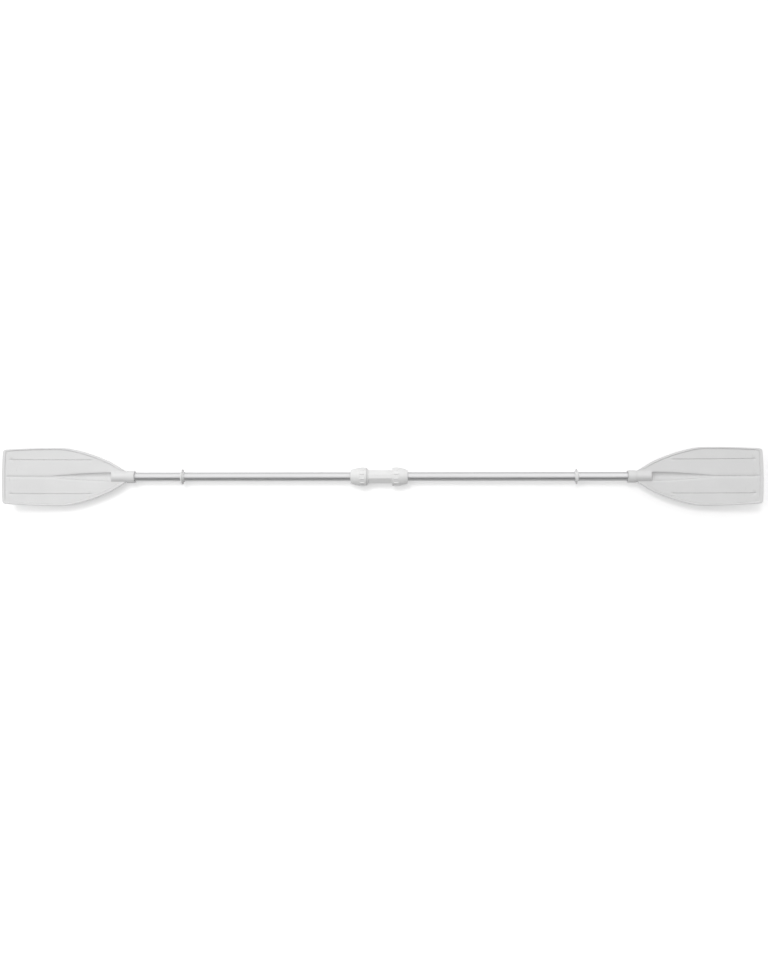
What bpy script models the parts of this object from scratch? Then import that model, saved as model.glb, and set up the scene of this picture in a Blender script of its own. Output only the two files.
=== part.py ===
"""Double-bladed paddle: two tube halves with moulded blades, held by a screw coupling.

X runs along the shaft, Z is up and the blade faces look up. The origin is under the
middle of the coupling, on the surface that the coupling's two nuts stand on.
"""
import math

import bmesh
import bpy
import numpy as np
from mathutils import Matrix, Vector

MM = 0.001

# Overall sizes
PADDLE_LENGTH = 2180 * MM
BLADE_LENGTH = 377 * MM        # from the collar's inner end to the tip
CLEARANCE = 0.3 * MM           # between pieces that seat on each other
ROUND_STEPS = 32               # sides of a turned piece
INNER_STEPS = 24               # sides of a turned piece that lies inside another

# Shaft tube and its end plugs
TUBE_RADIUS = 12.7 * MM
TUBE_WALL = 1.2 * MM
PLUG_LENGTH = 16 * MM
PLUG_WALL = 1.6 * MM
PLUG_RECESS = 0.6 * MM

# Coupling body: eight flats between two shoulders, a screwed spigot at each end
STOP_HALF_THICKNESS = 3 * MM
STOP_BORE_RADIUS = 9 * MM
BODY_WALL = 6.35 * MM          # from the tube's bore to a narrow flat
WIDE_FLAT_INSET = 1.6 * MM     # how much nearer the axis the wide flats lie
FLATS_HALF_LENGTH = 34.3 * MM
SHOULDER_LENGTH = 5 * MM
SHOULDER_STEP = 5 * MM         # from the spigot out to the shoulder's rim
SHOULDER_FOOT = 0.8 * MM       # how far the shoulder's small end stands over the flats' corners
SPIGOT_LENGTH = 24.7 * MM
SPIGOT_WALL = 3.1 * MM
SPIGOT_CHAMFER = 0.8 * MM
MOUTH_DEPTH = 14 * MM

# Seal ring, packing bush and split grip ring inside each nut
SEAL_SECTION_RADIUS = 1.8 * MM
SEAL_SECTION_STEPS = 8
BUSH_FLANGE_THICKNESS = 2 * MM
BUSH_FLANGE_STEP = 1.9 * MM
GRIP_LENGTH = 8.9 * MM
GRIP_WALL_WIDE = 5.3 * MM
GRIP_WALL_NARROW = 2.3 * MM
GRIP_SLIT = 2.5 * MM

# Coupling nut
NUT_LENGTH = 45.5 * MM
NUT_SKIRT_WALL = 1.6 * MM
NUT_MOUTH_CLEARANCE = 0.6 * MM
NUT_EDGE = 0.8 * MM
NUT_NOSE_WALL = 6 * MM         # thickness at the narrow end's face
NUT_NOSE_ROUND = 2.2 * MM
NUT_BULGE = 0.6 * MM           # how far the tapered side swells over a straight cone
RIB_COUNT = 12
RIB_START = 2.5 * MM
RIB_LENGTH = 15 * MM
RIB_HEIGHT = 1.3 * MM
RIB_TOP_SHARE = 0.75           # width of a rib's top against its foot
RIB_SIDES_PER_PITCH = 3        # sides of the nut from one rib to the next
NUT_TAPER_STEPS = 4            # stretches of the tapered side
NUT_CONE_GAP = 0.36 * MM       # from the nut's inner cone to the grip ring, along the radius

# Drip ring
DRIP_HUB_LENGTH = 10 * MM
DRIP_HUB_WALL = 2.3 * MM
DRIP_RADIUS = 22.3 * MM
DRIP_LEAN = 5.5 * MM           # how far the flared lip leans to the coupling
DRIP_LIP = 1.7 * MM            # thickness of the lip along the shaft
DRIP_LIP_DRAFT = 0.5 * MM      # how much nearer the axis the lip's inner side lies
DRIP_FLARE_POWER = 0.8         # below 1 the flare opens early
DRIP_FLARE_STEPS = 4
DRIP_ROOT = 4.4 * MM           # from the hub's outer end to where the flare leaves it
DRIP_HUB_EDGE = 1 * MM

# Blade collar
COLLAR_LENGTH = 23.2 * MM
COLLAR_WALL = 2.9 * MM
COLLAR_LIP = 3 * MM
COLLAR_EDGE = 1.2 * MM

# Blade, measured along the shaft from the collar's inner end
SOCKET_WALL = 1.8 * MM
SOCKET_LENGTH = 65 * MM
SOCKET_END_WALL = 2.3 * MM
STEP_DRAFT = 1 * MM
NECK_LENGTH = 26 * MM
WING_ROOT_LENGTH = 9 * MM
WING_ROOT_HALF_WIDTH = 24.7 * MM
WIDEST_AT = 215 * MM
BLADE_HALF_WIDTH = 84.2 * MM
SHOULDER_RUN = 37 * MM         # straight run of the shoulder from the wing's root
SHOULDER_GAIN = 23.5 * MM      # how much wider the blade gets on that run
SHOULDER_BEND = 56 * MM        # how long before the widest place the side runs straight
TIP_HALF_WIDTH = 79 * MM
TIP_CORNER_RADIUS = 9 * MM
TIP_BULGE = 3 * MM
SHEET_THICKNESS = 3.5 * MM
SHEET_LIFT = 7 * MM            # front face over the shaft's axis at the neck
TIP_RISE = 30 * MM             # spoon of the blade, from the socket's end to the tip
SPOON_POWER = 2.2
RIM_WIDTH_SHOULDER = 7 * MM
RIM_WIDTH_SIDE = 5 * MM
RIM_HEIGHT_FRONT = 1.3 * MM
RIM_HEIGHT_BACK = 1.0 * MM
RIM_SLOPE = 1 * MM
EDGE_CHAMFER = 0.8 * MM
TROUGH_LENGTH = 182 * MM
TROUGH_DEPTH_SHARE = 1.13      # depth of the trough against half its width
TROUGH_TAPER_POWER = 1.7
TROUGH_WALL = 2.4 * MM
GROOVE_HALF_WIDTH = 1.6 * MM
GROOVE_DEPTH = 1.6 * MM
GROOVE_OFFSET = 50 * MM        # outer grooves from the centre line
GROOVE_START = 122 * MM
GROOVE_END_MARGIN = 18.5 * MM
GROOVE_RAMP = 9 * MM
GROOVE_MOST_OUT = 0.87         # outer groove's place from trough to rim where the blade is narrow
GROOVE_TO_RIM = 0.6            # widest half groove against its distance from the rim
STATION_STEP_ROOT = 19 * MM    # longest stretch between two cross-sections, up to the widest
STATION_STEP_TIP = 36 * MM     # the same from there to the tip
ROOT_STATIONS = (0.35, 0.7)    # cross-sections on the wing's root, as shares of its length
TROUGH_LANES = (66, 44, 22)    # lengthwise lines of the trough, in degrees from its middle
FRONT_FAN = (57, 87)           # where the front's lines start round the neck, in degrees
BACK_FAN = (70, 87)            # the same for the back's lines
OUTLINE_SAMPLES = 60           # points of the curve that the shoulder is read from

# Blind rivet through the socket's underside
RIVET_TO_PLUG = 9.5 * MM       # from the rivet's axis to the floor of the outer plug
RIVET_SHANK_RADIUS = 1.6 * MM
RIVET_HEAD_RADIUS = 3.3 * MM
RIVET_HEAD_HEIGHT = 1.2 * MM
RIVET_BULB_RADIUS = 2.5 * MM
RIVET_BULB_LENGTH = 2.2 * MM
RIVET_BULB_END = 0.6           # radius of the bulb's end against its widest
RIVET_DOME_STEPS = 3
RIVET_STEPS = 16

# How each half stands in the photograph
SIDES = {
    "right": {"turn": 0.0, "nut_backed_off": 0.0, "ring_from_collar": 147 * MM},
    "left": {"turn": math.pi, "nut_backed_off": 5 * MM, "ring_from_collar": 139 * MM},
}

# Sizes that follow from the ones above
bore_radius = TUBE_RADIUS + CLEARANCE
mouth_radius = bore_radius + 2 * SEAL_SECTION_RADIUS + CLEARANCE
spigot_radius = mouth_radius + SPIGOT_WALL
shoulder_radius = spigot_radius + SHOULDER_STEP
narrow_apothem = bore_radius + BODY_WALL
wide_apothem = narrow_apothem - WIDE_FLAT_INSET
narrow_half_face = wide_apothem * math.sqrt(2) - narrow_apothem
corner_angle = math.atan2(narrow_half_face, narrow_apothem)
flats_corner_radius = math.hypot(narrow_half_face, narrow_apothem)
shoulder_face = FLATS_HALF_LENGTH + SHOULDER_LENGTH
spigot_end = shoulder_face + SPIGOT_LENGTH
mouth_start = spigot_end - MOUTH_DEPTH
nut_home = FLATS_HALF_LENGTH + CLEARANCE
nut_counterbore = shoulder_radius + CLEARANCE
nut_radius = nut_counterbore + NUT_SKIRT_WALL
bush_flange_start = spigot_end + CLEARANCE
grip_start = bush_flange_start + BUSH_FLANGE_THICKNESS + CLEARANCE
grip_end = grip_start + GRIP_LENGTH
collar_inner_end = PADDLE_LENGTH / 2 - BLADE_LENGTH
tube_start = STOP_HALF_THICKNESS + CLEARANCE
tube_end = collar_inner_end + SOCKET_LENGTH - SOCKET_END_WALL - 2 * CLEARANCE
neck_radius = bore_radius + SOCKET_WALL
rivet_x = tube_end - PLUG_RECESS - PLUG_LENGTH - RIVET_TO_PLUG
rib_turn = 2 * math.pi / (RIB_COUNT * RIB_SIDES_PER_PITCH)
rib_top_height = nut_radius * math.cos(rib_turn / 2) + RIB_HEIGHT
rib_top_half_width = nut_radius * math.sin(rib_turn / 2) * RIB_TOP_SHARE
rib_first_angle = math.pi / RIB_COUNT
axis_height = (rib_top_height * math.cos(rib_first_angle)
               + rib_top_half_width * math.sin(rib_first_angle))


def clear_scene():
    """Remove every object that is in the scene."""
    for old in list(bpy.data.objects):
        bpy.data.objects.remove(old, do_unlink=True)


def make_material(name, color, roughness, metallic=0.0):
    """Return a Principled material of one colour."""
    material = bpy.data.materials.new(name)
    material.use_nodes = True
    shader = material.node_tree.nodes["Principled BSDF"]
    shader.inputs["Base Color"].default_value = (*color, 1.0)
    shader.inputs["Roughness"].default_value = roughness
    shader.inputs["Metallic"].default_value = metallic
    return material


def smoothstep(value, low, high):
    """Go from 0 to 1 while value goes from low to high, with level ends."""
    share = min(1.0, max(0.0, (value - low) / (high - low)))
    return share * share * (3 - 2 * share)


def mix(first, second, share):
    """Return the value that lies this share of the way from first to second."""
    return first + (second - first) * share


def finish_mesh(shape, name, sharp_degrees=35):
    """Turn a bmesh into a mesh with outward faces, smooth but for its sharp edges."""
    bmesh.ops.recalc_face_normals(shape, faces=shape.faces)
    mesh = bpy.data.meshes.new(name)
    shape.to_mesh(mesh)
    shape.free()
    mesh.shade_smooth()
    mesh.set_sharp_from_angle(angle=math.radians(sharp_degrees))
    return mesh


def spin_profile(profile, steps=ROUND_STEPS, phase=0.0):
    """Spin a closed outline of (x, radius) points about X and return the bmesh.

    An outline may start and end on the axis.
    """
    shape = bmesh.new()
    turn = Matrix.Rotation(phase, 3, "X")
    points = [shape.verts.new(turn @ Vector((x, 0, radius))) for x, radius in profile]
    pairs = list(zip(points, points[1:] + points[:1]))
    if profile[0][1] == 0:
        pairs = pairs[:-1]
    edges = [shape.edges.new(pair) for pair in pairs]
    bmesh.ops.spin(shape, geom=points + edges, cent=(0, 0, 0), axis=(1, 0, 0),
                   angle=2 * math.pi, steps=steps, use_merge=True)
    bmesh.ops.remove_doubles(shape, verts=shape.verts, dist=CLEARANCE / 100)
    return shape


def loft_rings(shape, rings, close=False):
    """Join rings of equally many vertices, each to the next."""
    pairs = list(zip(rings, rings[1:]))
    if close:
        pairs.append((rings[-1], rings[0]))
    for ring, following in pairs:
        count = len(ring)
        for index in range(count):
            after = (index + 1) % count
            shape.faces.new((ring[index], ring[after], following[after], following[index]))


def place(name, mesh, material, parent, x=0.0):
    """Add an object with its origin on the shaft's axis."""
    piece = bpy.data.objects.new(name, mesh)
    mesh.materials.clear()
    mesh.materials.append(material)
    bpy.context.scene.collection.objects.link(piece)
    piece.parent = parent
    piece.location = (x, 0, 0)
    return piece


def cut(piece, mesh):
    """Cut a hidden cutter, given in the piece's own frame, out of the piece."""
    cutter = bpy.data.objects.new(piece.name + "_cutter", mesh)
    bpy.context.scene.collection.objects.link(cutter)
    cutter.parent = piece
    cutter.hide_render = True
    cutter.display_type = "WIRE"
    boolean = piece.modifiers.new("Cut", "BOOLEAN")
    boolean.operation = "DIFFERENCE"
    boolean.solver = "EXACT"
    boolean.object = cutter


def rod_mesh(start, end, radius, steps):
    """A plain round rod along X."""
    return finish_mesh(spin_profile([(start, 0), (start, radius), (end, radius), (end, 0)],
                                    steps), "rod")


def coupler_body_mesh():
    """Body of the coupling: one ring of points that goes out over it and back through it."""
    narrow_steps = 3
    wide_steps = 7
    wide_span = math.pi / 2 - 2 * corner_angle
    angles = []
    for quarter in range(4):
        start = quarter * math.pi / 2 - corner_angle
        angles += [start + 2 * corner_angle * step / narrow_steps for step in range(narrow_steps)]
        angles += [start + 2 * corner_angle + wide_span * step / wide_steps
                   for step in range(wide_steps)]

    def flats(angle):
        """Distance from the axis to the eight-sided outline in this direction."""
        eighth = math.pi / 4
        reach = []
        for face in range(8):
            apothem = wide_apothem if face % 2 else narrow_apothem
            facing = math.cos(angle - face * eighth)
            if facing > 0:
                reach.append(apothem / facing)
        return min(reach)

    def round_ring(radius):
        return lambda angle: radius

    half = [
        (spigot_end, round_ring(mouth_radius)),
        (spigot_end, round_ring(spigot_radius - SPIGOT_CHAMFER)),
        (spigot_end - SPIGOT_CHAMFER, round_ring(spigot_radius)),
        (shoulder_face, round_ring(spigot_radius)),
        (shoulder_face, round_ring(shoulder_radius)),
        (FLATS_HALF_LENGTH, round_ring(flats_corner_radius + SHOULDER_FOOT)),
        (FLATS_HALF_LENGTH, flats),
    ]
    inside = [
        (STOP_HALF_THICKNESS, round_ring(STOP_BORE_RADIUS)),
        (STOP_HALF_THICKNESS, round_ring(bore_radius)),
        (mouth_start, round_ring(bore_radius)),
        (mouth_start, round_ring(mouth_radius)),
    ]
    loop = half + [(-x, reach) for x, reach in reversed(half)]
    loop += [(-x, reach) for x, reach in reversed(inside)] + inside
    shape = bmesh.new()
    rings = []
    for x, reach in loop:
        rings.append([shape.verts.new((x, -reach(angle) * math.sin(angle),
                                       reach(angle) * math.cos(angle))) for angle in angles])
    loft_rings(shape, rings, close=True)
    return finish_mesh(shape, "coupler_body", 20)


def nut_mesh():
    """Coupling nut: wide end at 0, narrow end outward, grip ribs near the wide end."""
    bore = spigot_radius + CLEARANCE
    mouth = TUBE_RADIUS + NUT_MOUTH_CLEARANCE
    cone_start = grip_start - nut_home
    cone_end = grip_end + CLEARANCE - nut_home
    nose_radius = mouth + NUT_NOSE_WALL
    taper_start = RIB_START + RIB_LENGTH
    nose_start = NUT_LENGTH - NUT_NOSE_ROUND
    taper = []
    for step in range(1, NUT_TAPER_STEPS + 1):
        share = step / NUT_TAPER_STEPS
        x = mix(taper_start, nose_start, share)
        straight = mix(nut_radius, nose_radius + NUT_NOSE_ROUND / 2, share)
        taper.append((x, straight + NUT_BULGE * math.sin(math.pi * share)))
    profile = [
        (0, nut_counterbore),
        (0, nut_radius - NUT_EDGE),
        (NUT_EDGE, nut_radius),
        (RIB_START, nut_radius),
        (taper_start, nut_radius),
        *taper,
        (NUT_LENGTH, nose_radius - NUT_NOSE_ROUND / 2),
        (NUT_LENGTH, mouth),
        (cone_end, mouth),
        (cone_end, bore_radius + GRIP_WALL_NARROW + NUT_CONE_GAP),
        (cone_start, bore_radius + GRIP_WALL_WIDE + NUT_CONE_GAP),
        (cone_start, bore),
        (SHOULDER_LENGTH, bore),
        (SHOULDER_LENGTH, nut_counterbore),
    ]
    steps = RIB_COUNT * RIB_SIDES_PER_PITCH
    shape = spin_profile(profile, steps, phase=rib_first_angle - rib_turn / 2)
    bmesh.ops.recalc_face_normals(shape, faces=shape.faces)
    shape.faces.ensure_lookup_table()
    pitch = 2 * math.pi / RIB_COUNT
    feet = []
    for face in shape.faces:
        centre = face.calc_center_median()
        middle = RIB_START + RIB_LENGTH / 2
        outside = math.hypot(centre.y, centre.z) > nut_counterbore
        turned = (math.atan2(centre.y, centre.z) - rib_first_angle) % pitch
        on_rib = min(turned, pitch - turned) < rib_turn / 4
        if outside and on_rib and abs(centre.x - middle) < RIB_LENGTH / 4:
            feet.append(face)
    tops = bmesh.ops.extrude_discrete_faces(shape, faces=feet)["faces"]
    for top in tops:
        centre = top.calc_center_median()
        normal = top.normal.copy()
        run_in = RIB_HEIGHT / (RIB_LENGTH / 2)
        for vert in top.verts:
            offset = vert.co - centre
            along = offset.x * (1 - run_in)
            across = (offset - Vector((offset.x, 0, 0))) * RIB_TOP_SHARE
            vert.co = centre + Vector((along, 0, 0)) + across + normal * RIB_HEIGHT
    return finish_mesh(shape, "coupler_nut", 25)


def bush_mesh():
    """Packing bush: a spigot that presses on the seal ring, and a flange for the grip ring."""
    start = mouth_start + 2 * SEAL_SECTION_RADIUS + 2 * CLEARANCE
    flange_end = bush_flange_start + BUSH_FLANGE_THICKNESS
    outer = mouth_radius - CLEARANCE
    profile = [
        (start, bore_radius),
        (start, outer),
        (bush_flange_start, outer),
        (bush_flange_start, outer + BUSH_FLANGE_STEP),
        (flange_end, outer + BUSH_FLANGE_STEP),
        (flange_end, bore_radius),
    ]
    return finish_mesh(spin_profile(profile, INNER_STEPS), "packing_bush")


def grip_ring_mesh():
    """Split ring with a tapered outside, which the nut squeezes onto the tube."""
    profile = [
        (grip_start, bore_radius),
        (grip_start, bore_radius + GRIP_WALL_WIDE),
        (grip_end, bore_radius + GRIP_WALL_NARROW),
        (grip_end, bore_radius),
    ]
    return finish_mesh(spin_profile(profile, INNER_STEPS), "grip_ring")


def grip_slit_mesh():
    """Cutter for the slit along the top of the grip ring."""
    shape = bmesh.new()
    height = bore_radius + 2 * GRIP_WALL_WIDE
    size = Matrix.Diagonal((3 * GRIP_LENGTH, GRIP_SLIT, height, 1))
    centre = Matrix.Translation(((grip_start + grip_end) / 2, 0, height / 2))
    bmesh.ops.create_cube(shape, size=1, matrix=centre @ size)
    return finish_mesh(shape, "grip_slit")


def seal_ring_mesh():
    """Rubber seal ring at the bottom of the coupling's mouth."""
    middle = mouth_start + CLEARANCE + SEAL_SECTION_RADIUS
    centre = bore_radius + SEAL_SECTION_RADIUS
    profile = []
    for step in range(SEAL_SECTION_STEPS):
        angle = 2 * math.pi * (step + 0.5) / SEAL_SECTION_STEPS
        reach = SEAL_SECTION_RADIUS / math.cos(math.pi / SEAL_SECTION_STEPS)
        profile.append((middle - reach * math.sin(angle), centre + reach * math.cos(angle)))
    return finish_mesh(spin_profile(profile, INNER_STEPS), "seal_ring", 50)


def tube_mesh():
    """Drawn aluminium tube, open at both ends."""
    inner = TUBE_RADIUS - TUBE_WALL
    profile = [(tube_start, inner), (tube_start, TUBE_RADIUS),
               (tube_end, TUBE_RADIUS), (tube_end, inner)]
    return finish_mesh(spin_profile(profile), "shaft_tube")


def plug_mesh():
    """Cup that closes one end of a tube, with its open side at 0 and its floor inward."""
    outer = TUBE_RADIUS - TUBE_WALL - CLEARANCE
    profile = [(PLUG_LENGTH - PLUG_WALL, 0), (PLUG_LENGTH - PLUG_WALL, outer - PLUG_WALL),
               (0, outer - PLUG_WALL), (0, outer), (PLUG_LENGTH, outer), (PLUG_LENGTH, 0)]
    return finish_mesh(spin_profile(profile, INNER_STEPS), "shaft_plug")


def drip_ring_mesh():
    """Drip ring: a hub on the tube, and a thin lip that flares toward the coupling."""
    hub = bore_radius + DRIP_HUB_WALL
    half = DRIP_HUB_LENGTH / 2
    lip_reach = DRIP_RADIUS - hub
    outside = []
    inside = []
    for step in range(1, DRIP_FLARE_STEPS + 1):
        angle = math.pi / 2 * step / DRIP_FLARE_STEPS
        radius = hub + lip_reach * math.sin(angle) ** DRIP_FLARE_POWER
        x = half - DRIP_LIP - DRIP_LEAN * (1 - math.cos(angle))
        outside.append((x, radius))
        inside.append((x - DRIP_LIP, radius - DRIP_LIP_DRAFT))
    profile = [(-half, bore_radius), (-half, hub), (half - DRIP_ROOT, hub),
               *inside[:-1], (outside[-1][0] - DRIP_LIP, DRIP_RADIUS),
               *reversed(outside), (half - DRIP_HUB_EDGE, hub), (half, hub - DRIP_HUB_EDGE),
               (half, bore_radius)]
    return finish_mesh(spin_profile(list(reversed(profile))), "drip_ring")


def collar_mesh():
    """Collar that caps the blade's socket, with a lip that closes on the tube."""
    bore = neck_radius + CLEARANCE
    outer = bore + COLLAR_WALL
    profile = [
        (0, bore_radius),
        (0, outer - COLLAR_EDGE),
        (COLLAR_EDGE, outer),
        (COLLAR_LENGTH - COLLAR_EDGE, outer),
        (COLLAR_LENGTH, outer - COLLAR_EDGE),
        (COLLAR_LENGTH, bore),
        (COLLAR_LIP, bore),
        (COLLAR_LIP, bore_radius),
    ]
    return finish_mesh(spin_profile(profile), "blade_collar", 30)


def outline_half_width(along):
    """Half the blade's width at this distance from the collar's inner end."""
    wing_start = NECK_LENGTH + WING_ROOT_LENGTH
    corner_start = BLADE_LENGTH - TIP_BULGE - TIP_CORNER_RADIUS
    if along <= wing_start:
        return mix(neck_radius, WING_ROOT_HALF_WIDTH,
                   smoothstep(along, NECK_LENGTH, wing_start))
    if along <= WIDEST_AT:
        t = np.linspace(0, 1, OUTLINE_SAMPLES)
        a, b, c, d = (1 - t) ** 3, 3 * t * (1 - t) ** 2, 3 * t ** 2 * (1 - t), t ** 3
        x = (a * wing_start + b * (wing_start + SHOULDER_RUN)
             + c * (WIDEST_AT - SHOULDER_BEND) + d * WIDEST_AT)
        y = (a * WING_ROOT_HALF_WIDTH + b * (WING_ROOT_HALF_WIDTH + SHOULDER_GAIN)
             + (c + d) * BLADE_HALF_WIDTH)
        return float(np.interp(along, x, y))
    share = (along - WIDEST_AT) / (corner_start - WIDEST_AT)
    side = BLADE_HALF_WIDTH - (BLADE_HALF_WIDTH - TIP_HALF_WIDTH) * min(1.0, share) ** 2
    into_corner = max(0.0, along - corner_start)
    rest = max(0.0, TIP_CORNER_RADIUS ** 2 - into_corner ** 2)
    return side - TIP_CORNER_RADIUS + math.sqrt(rest)


def sheet_height(along):
    """Height of the blade's front face over the shaft's axis, without rim or grooves."""
    share = max(0.0, (along - SOCKET_LENGTH) / (BLADE_LENGTH - SOCKET_LENGTH))
    return SHEET_LIFT + TIP_RISE * share ** SPOON_POWER


def trough_half_width(along):
    """Half width of the trough, which runs out into the middle groove."""
    share = min(1.0, max(0.0, (along - SOCKET_LENGTH) / TROUGH_LENGTH))
    return mix(TUBE_RADIUS, GROOVE_HALF_WIDTH, share ** TROUGH_TAPER_POWER)


def blade_stations():
    """Places of the blade's cross-sections: one at each feature, and more in long gaps."""
    end = BLADE_LENGTH - TIP_BULGE
    corner = end - TIP_CORNER_RADIUS
    features = [
        COLLAR_LIP + CLEARANCE,
        NECK_LENGTH,
        *(NECK_LENGTH + WING_ROOT_LENGTH * share for share in ROOT_STATIONS),
        NECK_LENGTH + WING_ROOT_LENGTH,
        SOCKET_LENGTH,
        SOCKET_LENGTH + STEP_DRAFT,
        GROOVE_START,
        GROOVE_START + GROOVE_RAMP,
        WIDEST_AT,
        end - GROOVE_END_MARGIN - GROOVE_RAMP,
        end - GROOVE_END_MARGIN,
        corner,
        corner + TIP_CORNER_RADIUS * 0.5,
        end - RIM_WIDTH_SHOULDER,
        end - RIM_WIDTH_SHOULDER + RIM_SLOPE,
        end - 2 * EDGE_CHAMFER,
        end - EDGE_CHAMFER / 2,
        end,
    ]
    features.sort()
    stations = [features[0]]
    for place_along in features[1:]:
        gap = place_along - stations[-1]
        if gap < CLEARANCE:
            continue
        start = stations[-1]
        longest = STATION_STEP_ROOT if start < WIDEST_AT else STATION_STEP_TIP
        pieces = max(1, math.ceil(gap / longest))
        stations += [start + gap * step / pieces for step in range(1, pieces + 1)]
    return stations


def blade_lanes(along, half_width, centre_half_width, lip):
    """Distances from the centre line of the lengthwise lines, from the edge to the middle."""
    boundary = centre_half_width + lip
    room = half_width - boundary
    wide = smoothstep(along, WIDEST_AT - SHOULDER_BEND / 2, WIDEST_AT)
    rim = min(mix(RIM_WIDTH_SHOULDER, RIM_WIDTH_SIDE, wide), room / 2)
    slope = min(RIM_SLOPE, rim / 3)
    chamfer = min(EDGE_CHAMFER, rim / 4)
    foot = half_width - rim
    groove = min(GROOVE_OFFSET, mix(boundary, foot, GROOVE_MOST_OUT))
    groove_half = min(GROOVE_HALF_WIDTH, (foot - groove) * GROOVE_TO_RIM)
    trough = [centre_half_width * math.sin(math.radians(turn)) for turn in TROUGH_LANES]
    return [half_width, half_width - chamfer, foot + slope, foot, groove + groove_half, groove,
            groove - groove_half, boundary, *trough, 0.0]


def blade_section(along):
    """Front and back points (y, z) of one side of the cross-section, from edge to middle."""
    end = BLADE_LENGTH - TIP_BULGE
    half_width = outline_half_width(along)
    front = sheet_height(along)
    back = front - SHEET_THICKNESS
    wings = smoothstep(along, NECK_LENGTH, NECK_LENGTH + WING_ROOT_LENGTH)
    in_trough = smoothstep(along, SOCKET_LENGTH, SOCKET_LENGTH + STEP_DRAFT)
    hump_half_width = math.sqrt(neck_radius ** 2 - SHEET_LIFT ** 2)
    centre = mix(hump_half_width, trough_half_width(along), in_trough)
    spine_fade = smoothstep(along, SOCKET_LENGTH, SOCKET_LENGTH + TROUGH_LENGTH / 3)
    spine = mix(neck_radius, trough_half_width(along) + TROUGH_WALL, spine_fade)
    tip_rim = 1 - smoothstep(end - along, RIM_WIDTH_SHOULDER - RIM_SLOPE, RIM_WIDTH_SHOULDER)
    tip_chamfer = EDGE_CHAMFER * (1 - min(1.0, (end - along) / EDGE_CHAMFER))
    ramp = (smoothstep(along, GROOVE_START, GROOVE_START + GROOVE_RAMP)
            * smoothstep(end - along, GROOVE_END_MARGIN, GROOVE_END_MARGIN + GROOVE_RAMP))
    centre_ramp = smoothstep(end - along, RIM_WIDTH_SHOULDER,
                             RIM_WIDTH_SHOULDER + GROOVE_RAMP)
    depth = trough_half_width(along) * TROUGH_DEPTH_SHARE * centre_ramp
    front_lanes = blade_lanes(along, half_width, centre, GROOVE_HALF_WIDTH / 2)
    back_lanes = blade_lanes(along, half_width, spine, GROOVE_HALF_WIDTH / 2)
    last = len(front_lanes) - 1
    first_centre = last - len(TROUGH_LANES)
    section = []
    for lane, (y_front, y_back) in enumerate(zip(front_lanes, back_lanes)):
        rim = 1.0 if lane <= 2 else tip_rim
        edge = EDGE_CHAMFER if lane == 0 else 0.0
        dip = GROOVE_DEPTH * ramp if lane == 5 else 0.0
        z_front = front + RIM_HEIGHT_FRONT * rim - max(edge, tip_chamfer) - dip
        z_back = back - RIM_HEIGHT_BACK * rim + max(edge, tip_chamfer) - dip
        if lane >= first_centre:
            hump = math.sqrt(max(0.0, neck_radius ** 2 - y_front ** 2))
            arc = math.sqrt(max(0.0, 1 - (y_front / centre) ** 2))
            z_front = mix(hump, z_front - depth * arc, in_trough)
            pipe = -math.sqrt(max(0.0, neck_radius ** 2 - y_back ** 2))
            bow = math.sqrt(max(0.0, 1 - (y_back / spine) ** 2))
            z_back = mix(pipe, z_back - depth * bow, spine_fade)
        if lane < first_centre:
            outward = 1 - lane / (first_centre - 1)
            fan_front = math.radians(mix(*FRONT_FAN, outward))
            fan_back = math.radians(mix(*BACK_FAN, outward))
        else:
            fan_front = math.asin(y_front / neck_radius)
            fan_back = math.asin(min(1.0, y_back / neck_radius))
        y_front = mix(neck_radius * math.sin(fan_front), y_front, wings)
        z_front = mix(neck_radius * math.cos(fan_front), z_front, wings)
        y_back = mix(neck_radius * math.sin(fan_back), y_back, wings)
        z_back = mix(-neck_radius * math.cos(fan_back), z_back, wings)
        section.append(((y_front, z_front), (y_back, z_back)))
    return section


def blade_mesh():
    """Blade with its socket, trough, three grooves, spine and rim, lofted along X."""
    shape = bmesh.new()
    end = BLADE_LENGTH - TIP_BULGE
    bulge_start = end - 2 * RIM_WIDTH_SHOULDER
    rings = []
    for along in blade_stations():
        section = blade_section(along)
        bulge = TIP_BULGE * smoothstep(along, bulge_start, end)
        front = [point[0] for point in section]
        back = [point[1] for point in section]
        row = [(y, z) for y, z in front] + [(-y, z) for y, z in reversed(front[:-1])]
        row += [(-y, z) for y, z in back] + [(y, z) for y, z in reversed(back[:-1])]
        ring = []
        for y, z in row:
            x = along + bulge * (1 - (y / TIP_HALF_WIDTH) ** 2)
            ring.append(shape.verts.new((x, y, z)))
        rings.append(ring)
    loft_rings(shape, rings)
    shape.faces.new(rings[0])
    tip = rings[-1]
    count = len(tip)
    for index in range(count // 2 - 1):
        shape.faces.new((tip[index], tip[index + 1], tip[count - 2 - index],
                         tip[count - 1 - index]))
    return finish_mesh(shape, "blade", 30)


def rivet_mesh():
    """Blind rivet along Z: domed head under the socket, shank, and bulb inside the tube."""
    head_face = neck_radius + CLEARANCE
    bulb_face = TUBE_RADIUS - TUBE_WALL - CLEARANCE
    dome = []
    for step in range(RIVET_DOME_STEPS + 1):
        angle = math.pi / 2 * step / RIVET_DOME_STEPS
        dome.append((head_face + RIVET_HEAD_HEIGHT * math.cos(angle),
                     RIVET_HEAD_RADIUS * math.sin(angle)))
    profile = [*dome, (head_face, RIVET_SHANK_RADIUS), (bulb_face, RIVET_SHANK_RADIUS),
               (bulb_face, RIVET_BULB_RADIUS),
               (bulb_face - RIVET_BULB_LENGTH, RIVET_BULB_RADIUS * RIVET_BULB_END),
               (bulb_face - RIVET_BULB_LENGTH, 0)]
    shape = spin_profile(list(reversed(profile)), RIVET_STEPS)
    down = Matrix.Rotation(math.pi / 2, 4, "Y")
    bmesh.ops.transform(shape, matrix=down, verts=shape.verts)
    return finish_mesh(shape, "blade_rivet")


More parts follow.
